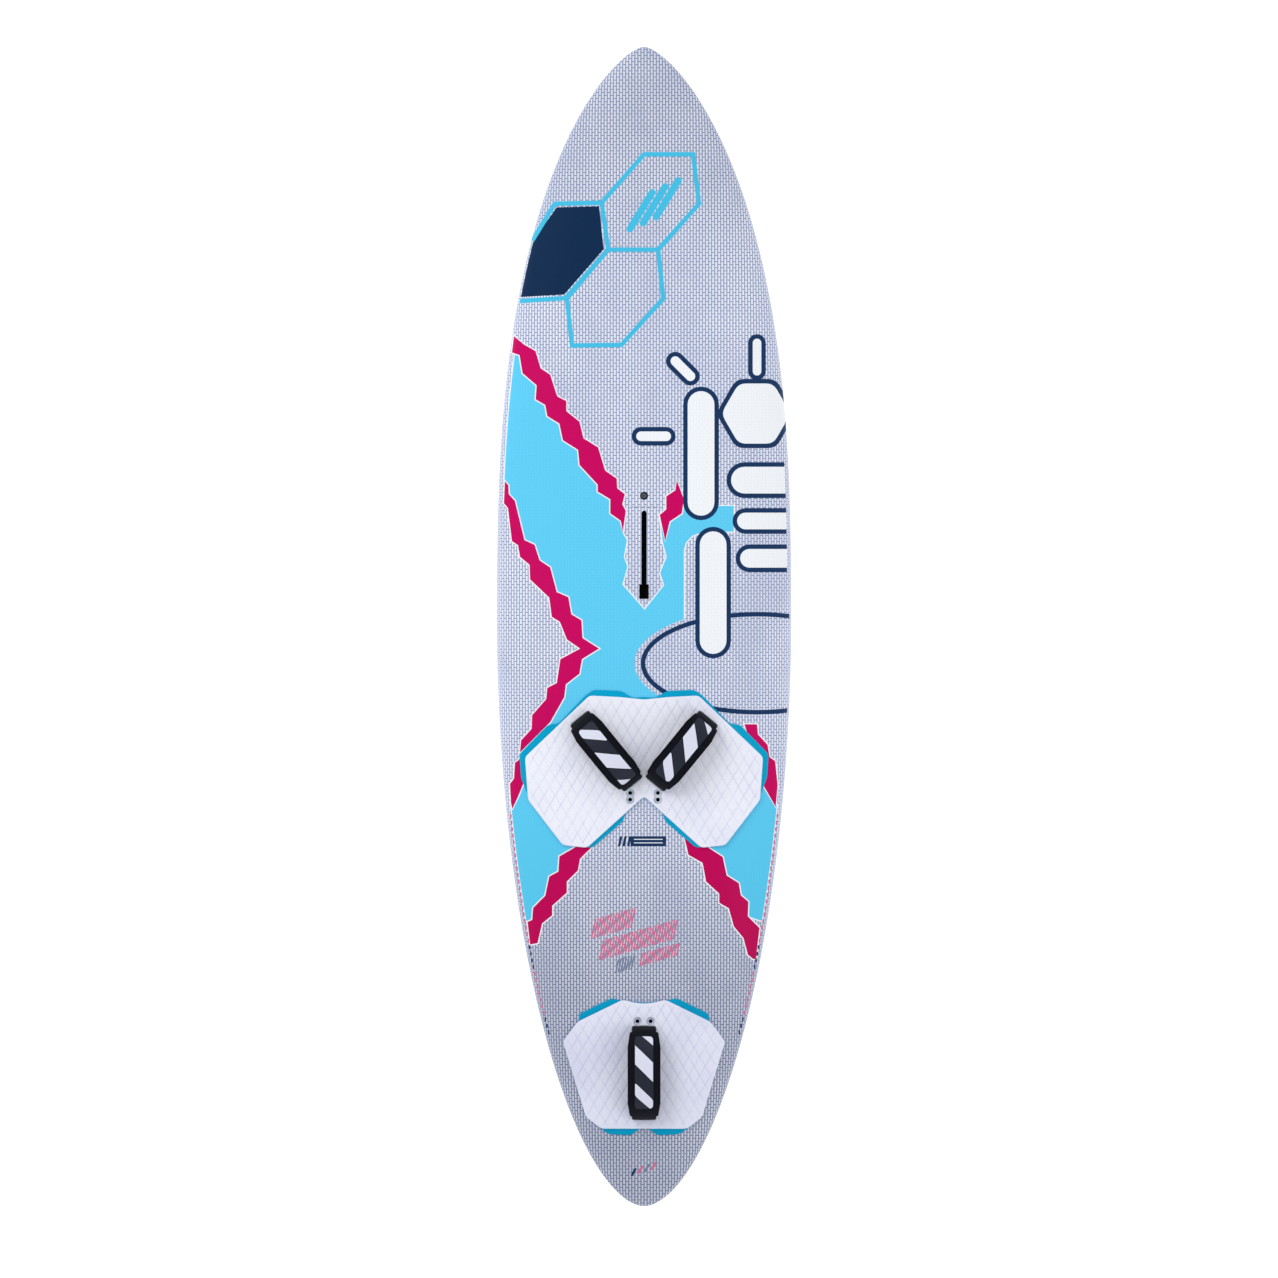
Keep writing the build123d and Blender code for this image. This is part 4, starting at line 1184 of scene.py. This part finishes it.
def remesh(piece, voxel):
    """Even faces all over, of about a voxel's size."""
    modifier = piece.modifiers.new("remesh", "REMESH")
    modifier.mode = "VOXEL"
    modifier.voxel_size = voxel * MM
    modifier.use_smooth_shade = True
    return apply_modifiers(piece)


def inflate(piece, cap, held, frames=20, pressure=4.0):
    """Fills a closed soft mesh by cloth simulation; no point moves more than the cap, held points stay."""
    start = coordinates(piece.data)
    group = piece.vertex_groups.new(name="held")
    group.add([int(k) for k in np.flatnonzero(held(start / MM))], 1.0, "REPLACE")
    cloth = piece.modifiers.new("fill", "CLOTH")
    cloth.settings.use_pressure = True
    cloth.settings.uniform_pressure_force = pressure
    cloth.settings.effector_weights.gravity = 0
    cloth.settings.vertex_group_mass = "held"
    cloth.settings.quality = 4
    cloth.point_cache.frame_end = frames
    for number in range(1, frames + 1):
        bpy.context.scene.frame_set(number)
    moved = coordinates(piece.evaluated_get(bpy.context.evaluated_depsgraph_get()).data)
    piece.modifiers.remove(cloth)
    bpy.context.scene.frame_set(1)
    step = moved - start
    length = np.linalg.norm(step, axis=1, keepdims=True)
    step *= np.minimum(1, cap * MM / np.maximum(length, 1e-9))
    piece.data.vertices.foreach_set("co", (start + step).astype(np.float32).ravel())
    piece.vertex_groups.clear()
    return piece


def smooth(piece, levels):
    """Divides the faces and rounds them off."""
    modifier = piece.modifiers.new("smooth", "SUBSURF")
    modifier.levels = modifier.render_levels = levels
    return apply_modifiers(piece)


SEAM = 21.5                  # the stitch lines beside the striped panel, either side of the middle
STITCH_LINES = (SEAM + 0.3, 25.2)
STITCH_REACH, STITCH_PITCH, STITCH_LENGTH, STITCH_RADIUS = 66, 4.2, 2.9, 0.42


def outer_height(frame_, local):
    """How far outside the arch's middle line each point lies, in the arch's own plane."""
    path, _ = cover_path(frame_, 4, 200)
    normals, _ = path_normals(path)
    apart = local[:, None, (0, 2)] - path[None]
    nearest = np.argmin((apart**2).sum(axis=2), axis=1)
    return (apart[np.arange(len(local)), nearest] * normals[nearest]).sum(axis=1)


def cover(frame_, name, body, material):
    """The padded cover: filled between its edges, held down along the two seams beside the panel."""
    piece = blank_cover(frame_, name, body, material)
    remesh(piece, 4.0)

    def held(points):
        local = frame_.local(points)
        on_top = outer_height(frame_, local) > 1.5
        return on_top & (np.abs(np.abs(local[:, 1]) - SEAM) < 2.2)

    inflate(piece, FILL_CAP, held)
    smooth(piece, 2)
    local = frame_.local(coordinates(piece.data) / MM)
    outer = outer_height(frame_, local)
    to_seam = np.abs(np.abs(local[:, 1]) - SEAM)
    sink = np.where(outer > 1.5, 1.0 * np.clip(1 - to_seam / 2.0, 0, 1) ** 1.5, 0)
    centre = np.clip(1 - np.abs(local[:, 1]) / (SEAM - 1), 0, 1)
    sink += np.where((outer > 1.5) & (np.abs(local[:, 1]) < SEAM), 0.8 * np.sqrt(centre), 0)
    normals = np.zeros(len(piece.data.vertices) * 3, np.float32)
    piece.data.vertices.foreach_get("normal", normals)
    moved = coordinates(piece.data) - normals.reshape(-1, 3) * sink[:, None] * MM
    piece.data.vertices.foreach_set("co", moved.astype(np.float32).ravel())
    piece.data.polygons.foreach_set("use_smooth", [True] * len(piece.data.polygons))
    piece.data.update()
    return piece


class Skin:
    """Finds where a strap's cover lies under any place of the arch: travelled along it and across it."""

    def __init__(self, frame_, piece):
        self.frame = frame_
        mesh = piece.data
        faces = [tuple(p.vertices) for p in mesh.polygons]
        self.tree = BVHTree.FromPolygons([v.co / MM for v in mesh.vertices], faces)
        self.path = arch_path(frame_.reach + OVERHANG + COVER_OUTER, STRAP_RISE + COVER_OUTER, 6, 240)
        self.normals, self.travelled = path_normals(self.path)
        self.middle = self.travelled[-1] / 2

    def points(self, places, lift):
        """On the cover, lifted off it, for places (travelled from the arch's top, across)."""
        places = np.asarray(places, float)
        marks = places[:, 0] + self.middle
        on_path = np.stack([np.interp(marks, self.travelled, self.path[:, k]) for k in (0, 1)], 1)
        normal = np.stack([np.interp(marks, self.travelled, self.normals[:, k]) for k in (0, 1)], 1)
        normal /= np.linalg.norm(normal, axis=1, keepdims=True)
        start = self.frame.place(np.stack([on_path[:, 0], places[:, 1], on_path[:, 1]], 1))
        outward = normal[:, 0:1] * self.frame.along + normal[:, 1:2] * self.frame.up
        result = []
        for point, direction, raised in zip(start, outward, np.broadcast_to(lift, len(start))):
            hit = self.tree.ray_cast(Vector(point + direction * 8), Vector(-direction), 24)[0]
            surface = np.array(hit) if hit else point
            result.append(surface + direction * raised)
        return np.array(result)


def stripe(first, last, half, slant=-1.0):
    """One slanted stripe of the panel, between two places along it."""
    lean = half * slant
    return [(first - lean, -half), (last - lean, -half), (last + lean, half), (first + lean, half)]


def panel(skin, name, body, materials, turned):
    """The printed panel on the cover's top: slanted light and dark stripes with black lines between."""
    (low, high), half = PANEL_ENDS, PANEL_WIDTH / 2
    outline = ccw(rounded([(low, -half), (high, -half), (high, half), (low, half)], 10))
    inner = ccw(rounded([(low + 1.2, 1.2 - half), (high - 1.2, 1.2 - half),
                         (high - 1.2, half - 1.2), (low + 1.2, half - 1.2)], 9))
    shapes, keys = [dense(outline, 4), dense(inner, 4)], ["black", "black"]
    for index, (key, first, last) in enumerate(STRIPES):
        edges = stripe(first, last, half)
        shapes.append(ccw(dense(rounded(edges, 8) if index == 1 else edges, 4)))
        keys.append(key)
    field = grid_field(outline, 3.2)
    flat, triangles, owners = tile(field[inside(field, outline)], shapes)
    middles = flat[triangles].mean(axis=1)
    within = inside(middles, outline)
    rim = ~inside(middles, inner)
    kept = within & (owners >= 0)
    flat, triangles = compact(flat, triangles[kept])
    slots = np.array([["black", "dark", "light"].index(keys[owner]) for owner in owners[kept]])
    slots[rim[kept]] = 0
    places = flat * (-1 if turned else 1)
    raised = 0.75 - 0.35 * np.clip(1 - edge_distance(flat, outline) / 1.5, 0, 1)
    top, bottom = skin.points(places, raised), skin.points(places, 0.12)
    piece = sheet(name, top, bottom, triangles, materials, slots, body, sharp=60)
    give(piece, along=np.tile(flat[:, 0], 2), across=np.tile(flat[:, 1], 2))
    return piece


THREAD_FACES = band_faces(3, 4) + [(3, 2, 1, 0), (8, 9, 10, 11)]


def stitches(skin, name, body, material):
    """Rows of short threads on the cover, beside the panel and along its two edges."""
    points, faces = [], []
    for across in [side * line for line in STITCH_LINES for side in (-1, 1)]:
        marks = np.arange(-STITCH_REACH, STITCH_REACH, STITCH_PITCH)
        first = skin.points([(m, across) for m in marks], 0.1)
        last = skin.points([(m + STITCH_LENGTH, across) for m in marks], 0.1)
        middle = skin.points([(m + STITCH_LENGTH / 2, across) for m in marks], 0.3)
        for a, m, b in zip(first, middle, last):
            up = m - (a + b) / 2
            side = np.cross(b - a, up)
            side *= STITCH_RADIUS / max(np.linalg.norm(side), 1e-9)
            up *= STITCH_RADIUS / max(np.linalg.norm(up), 1e-9)
            base = len(points)
            for point, scale in ((a, 0.3), (m, 1.0), (b, 0.3)):
                points += [point + side * scale, point + up * scale, point - side * scale, point - up * scale]
            faces += [tuple(base + corner for corner in face) for face in THREAD_FACES]
    return make_object(name, points, faces, [material], None, body, sharp=0)


def piping(frame_, name, body, material):
    """The rolled binding round the cover's two long edges and over its ends."""
    path, widths = cover_path(frame_, COVER_LOW + 3, 64)
    edge = np.stack([path[:, 0], widths * BINDING_REACH, path[:, 1]], 1)
    loop = np.concatenate([edge, edge[::-1] * (1, -1, 1), edge[:1]])
    return rope(name, frame_.place(even(loop, 170)[:-1]), BINDING_RADIUS, material, body)


def rope(name, spine, radius, material, body, count=10):
    """A round cord along a closed loop of points."""
    tangent = np.roll(spine, -1, axis=0) - np.roll(spine, 1, axis=0)
    tangent /= np.linalg.norm(tangent, axis=1, keepdims=True)
    side = np.cross(tangent, [0.02, 0.05, 1.0])
    side /= np.linalg.norm(side, axis=1, keepdims=True)
    up = np.cross(side, tangent)
    angles = np.linspace(0, 2 * math.pi, count, endpoint=False)[:, None]
    rings = spine[:, None] + radius * (np.cos(angles) * side[:, None] + np.sin(angles) * up[:, None])
    faces = band_faces(len(spine), count)
    last = (len(spine) - 1) * count
    faces += [(last + k, last + (k + 1) % count, (k + 1) % count, k) for k in range(count)]
    return make_object(name, rings.reshape(-1, 3), faces, [material], None, body, sharp=0)


# ---- Build ----
def build_hull():
    """Both skins of the board, the deck with its prints."""
    inks = {
        "weave": bare_weave(),
        "white": ink("print_white", PRINT_WHITE),
        "blue": ink("print_sky_blue", SKY_BLUE, SKY_BLUE_TAIL_SHADE),
        "magenta": ink("print_magenta", MAGENTA, MAGENTA_TAIL_SHADE),
        "navy": ink("print_navy", NAVY_LINE),
        "navy_fill": ink("print_deep_navy", NAVY_FILL),
        "turquoise": ink("print_turquoise", TURQUOISE),
        "pink": ink("print_pink", PALE_PINK),
        "grey": ink("print_grey", PALE_GREY),
    }
    deck = hull_skin("deck", 1, deck_prints(), deck_openings(), inks, "weave")
    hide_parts("deck_skin")
    bottom = hull_skin("bottom", -1, [], fin_openings(), {"weave": bottom_finish()}, "weave")
    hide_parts("bottom_skin")


def strap_openings(frame_):
    """The recess in the pad that a strap's two ends lie in."""
    shapes = []
    for end in (1, -1):
        middle = end * (frame_.reach + 0.5)
        corners = frame_.place([(middle + a * RECESS[0], b * RECESS[1], 0) for a, b in CORNERS])
        shapes.append(ccw(rounded([(x, y + MAST_STATION) for x, y, _ in corners], 6)))
    return shapes


def build_pads(frames):
    """The front and the rear pad, each a teal sheet under a white one."""
    teal = eva("teal_foam", linear(0, 164, 206), linear(0, 126, 168))
    white = eva("white_foam", linear(241, 243, 255), linear(188, 192, 226))
    x, station = FRONT_INNER
    spare = {"front": [(sign * x, station - k * PLUG_PITCH) for sign in (-1, 1) for k in (3, 2)],
             "rear": [(sign * REAR_SCREW, REAR_PLUGS[0][1]) for sign in (-1, 1)]}
    outlines = {"front": (FRONT_PAD_BASE, FRONT_PAD_TOP), "rear": (REAR_PAD_BASE, REAR_PAD_TOP)}
    for where, (base, top) in outlines.items():
        openings = [circle(SPARE_HOLE, place, 24) for place in spare[where]]
        for name, frame_ in frames.items():
            if name.startswith(where):
                openings += strap_openings(frame_)
        lower = pad(where + "_pad_sheet", base, BOND, PAD_BASE, teal, openings, False, 1.2)
        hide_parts(where + "_pad_base")
        low, high = PAD_BASE + BOND, PAD_BASE + PAD_TOP
        upper = pad(where + "_pad_scales", top, low, high, white, openings, True, 2.4)
        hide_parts(where + "_pad_top")


def build_straps(frames):
    """Each footstrap: webbing, filled cover, printed panel, sleeves, stitches and binding."""
    webbing_look, neoprene, thread = webbing_finish(), neoprene_finish(), thread_finish()
    panel_looks = [panel_finish("panel_black", linear(6, 8, 16), linear(18, 20, 30)),
                   panel_finish("panel_dark", linear(32, 38, 56), linear(18, 22, 36)),
                   panel_finish("panel_light", linear(228, 230, 246), linear(196, 200, 226))]
    for name, frame_ in frames.items():
        body = name + "_strap"
        strap = webbing(frame_, body + "_band", webbing_look)
        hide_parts(body + "_webbing", body + "_tabs")
        padded = cover(frame_, body + "_padding", body, neoprene)
        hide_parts(body + "_cover")
        skin = Skin(frame_, padded)
        printed = panel(skin, body + "_print", body, panel_looks, turned=name != "front_left")
        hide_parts(body + "_panel")
        sleeves(frame_, body + "_sleeve", neoprene)
        stitches(skin, body + "_stitching", body, thread)
        piping(frame_, body + "_binding", body, webbing_look)


NODE_LOOKS = {
    "_fin": fin_finish(),
    "_fin_box": plastic("box_black", linear(22, 24, 30)),
    "_fin_pin": metal("pin_brass", linear(196, 160, 92)),
    "_fin_nut": metal("nut_brass", linear(190, 152, 84), 0.35),
    "_screw": metal("screw_steel", linear(176, 178, 184)),
    "_screws": metal("strap_screw_steel", linear(160, 163, 170)),
    "_washers": plastic("washer_black", linear(12, 13, 18), 0.6),
    "front_strap_plugs": plug_finish("front_plug_grey", *FRONT_INNER, PLUG_PITCH),
    "rear_strap_plugs": plug_finish("rear_plug_grey", REAR_SCREW, REAR_PLUGS[0][1], 20),
    "_block": foam("dense_foam", linear(214, 186, 132), 1.2),
    "_blocks": foam("plug_foam", linear(208, 180, 128), 1.2),
    "foam_core": foam("core_foam", linear(238, 238, 236), 3.5),
    "mast_track_box": plastic("track_black", linear(10, 11, 14), 0.5),
    "vent_housing": plastic("vent_black", linear(26, 27, 34), 0.4),
    "vent_screw": metal("vent_grey", linear(132, 138, 152), 0.42),
    "vent_seal": plastic("seal_black", linear(8, 8, 9), 0.6),
}


def finish_nodes():
    """Every carried-over CAD node takes the look that best fits its name."""
    for name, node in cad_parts.items():
        fitting = [ending for ending in NODE_LOOKS if name.endswith(ending)]
        if fitting:
            node.data.materials.clear()
            node.data.materials.append(NODE_LOOKS[max(fitting, key=len)])


SKY_STRENGTH = 0.67
FLOOR_GAP = 0.004            # metres under the lowest fin
FLOOR_GLOW = 0.45
# Each lamp's name, place and size in metres, and power in watts; and the camera over the board's middle.
LAMPS = [("key", (-2.6, 2.2, 4.2), 3.0, 95), ("fill", (3.0, -2.4, 3.6), 3.4, 45)]
CAMERA_PLACE, CAMERA_WIDTH = (-0.010, -0.181, 4.0), 2.534


def light_sky(tree):
    """White to look at and even for soft light, but dark overhead where shiny surfaces mirror it."""
    direction = tree.nodes.new("ShaderNodeTexCoord")
    split = tree.nodes.new("ShaderNodeSeparateXYZ")
    rays = tree.nodes.new("ShaderNodeLightPath")
    tree.links.new(direction.outputs["Generated"], split.inputs[0])
    height = Value(tree, split.outputs[2])
    mirrored = height.step(0.95, 0.45) * 0.85 + 0.06
    seen = Value(tree, rays.outputs["Is Camera Ray"])
    shiny = Value(tree, rays.outputs["Is Glossy Ray"])
    strength = seen + shiny * mirrored + (1 - seen) * (1 - shiny) * SKY_STRENGTH
    background = tree.nodes["Background"]
    background.inputs["Color"].default_value = (1, 1, 1, 1)
    tree.links.new(strength.socket, background.inputs["Strength"])


def stage():
    """A plain pale floor under the fins, a bright even sky, two broad soft lamps and the camera overhead."""
    bpy.ops.mesh.primitive_plane_add(size=40, location=(0, 0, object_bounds()[0].z - FLOOR_GAP))
    floor = bpy.context.active_object
    floor.name = "floor"
    look = Look("pale_floor", linear(250, 250, 252), 0.9)
    tree = look.tree
    glow = tree.nodes.new("ShaderNodeEmission")
    glow.inputs["Color"].default_value = (1, 1, 1, 1)
    glow.inputs["Strength"].default_value = FLOOR_GLOW
    both = tree.nodes.new("ShaderNodeAddShader")
    clear = tree.nodes.new("ShaderNodeBsdfTransparent")
    pick = tree.nodes.new("ShaderNodeMixShader")
    facing = tree.nodes.new("ShaderNodeNewGeometry")
    tree.links.new(look.shader.outputs[0], both.inputs[0])
    tree.links.new(glow.outputs[0], both.inputs[1])
    tree.links.new(facing.outputs["Backfacing"], pick.inputs[0])
    tree.links.new(both.outputs[0], pick.inputs[1])
    tree.links.new(clear.outputs[0], pick.inputs[2])
    tree.links.new(pick.outputs[0], tree.nodes["Material Output"].inputs["Surface"])
    look.paint(look.blend(look.noise(400) * 0.1, linear(250, 250, 252), linear(244, 245, 248)))
    floor.data.materials.append(look.material)
    floor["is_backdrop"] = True

    world = bpy.data.worlds.new("studio")
    world.use_nodes = True
    light_sky(world.node_tree)
    bpy.context.scene.world = world

    for name, place, size, power in LAMPS:
        lamp = bpy.data.lights.new(name, "AREA")
        lamp.size = size
        lamp.energy = power
        holder = bpy.data.objects.new(name, lamp)
        holder.location = place
        holder.rotation_euler = (Vector((0, -0.2, 0)) - Vector(place)).to_track_quat("-Z", "Y").to_euler()
        bpy.context.scene.collection.objects.link(holder)

    camera = bpy.data.cameras.new("camera")
    camera.type = "ORTHO"
    camera.ortho_scale = CAMERA_WIDTH
    holder = bpy.data.objects.new("camera", camera)
    holder.location = CAMERA_PLACE
    bpy.context.scene.collection.objects.link(holder)
    bpy.context.scene.camera = holder
    bpy.context.scene.view_settings.view_transform = "Standard"


strap_frames = {
    "front_left": StrapFrame((-FRONT_OUTER[0], FRONT_OUTER[1]), (-FRONT_INNER[0], FRONT_INNER[1])),
    "front_right": StrapFrame(FRONT_OUTER, FRONT_INNER),
    "rear": StrapFrame(REAR_FRONT, REAR_BACK),
}
build_hull()
build_pads(strap_frames)
build_straps(strap_frames)
finish_nodes()
stage()
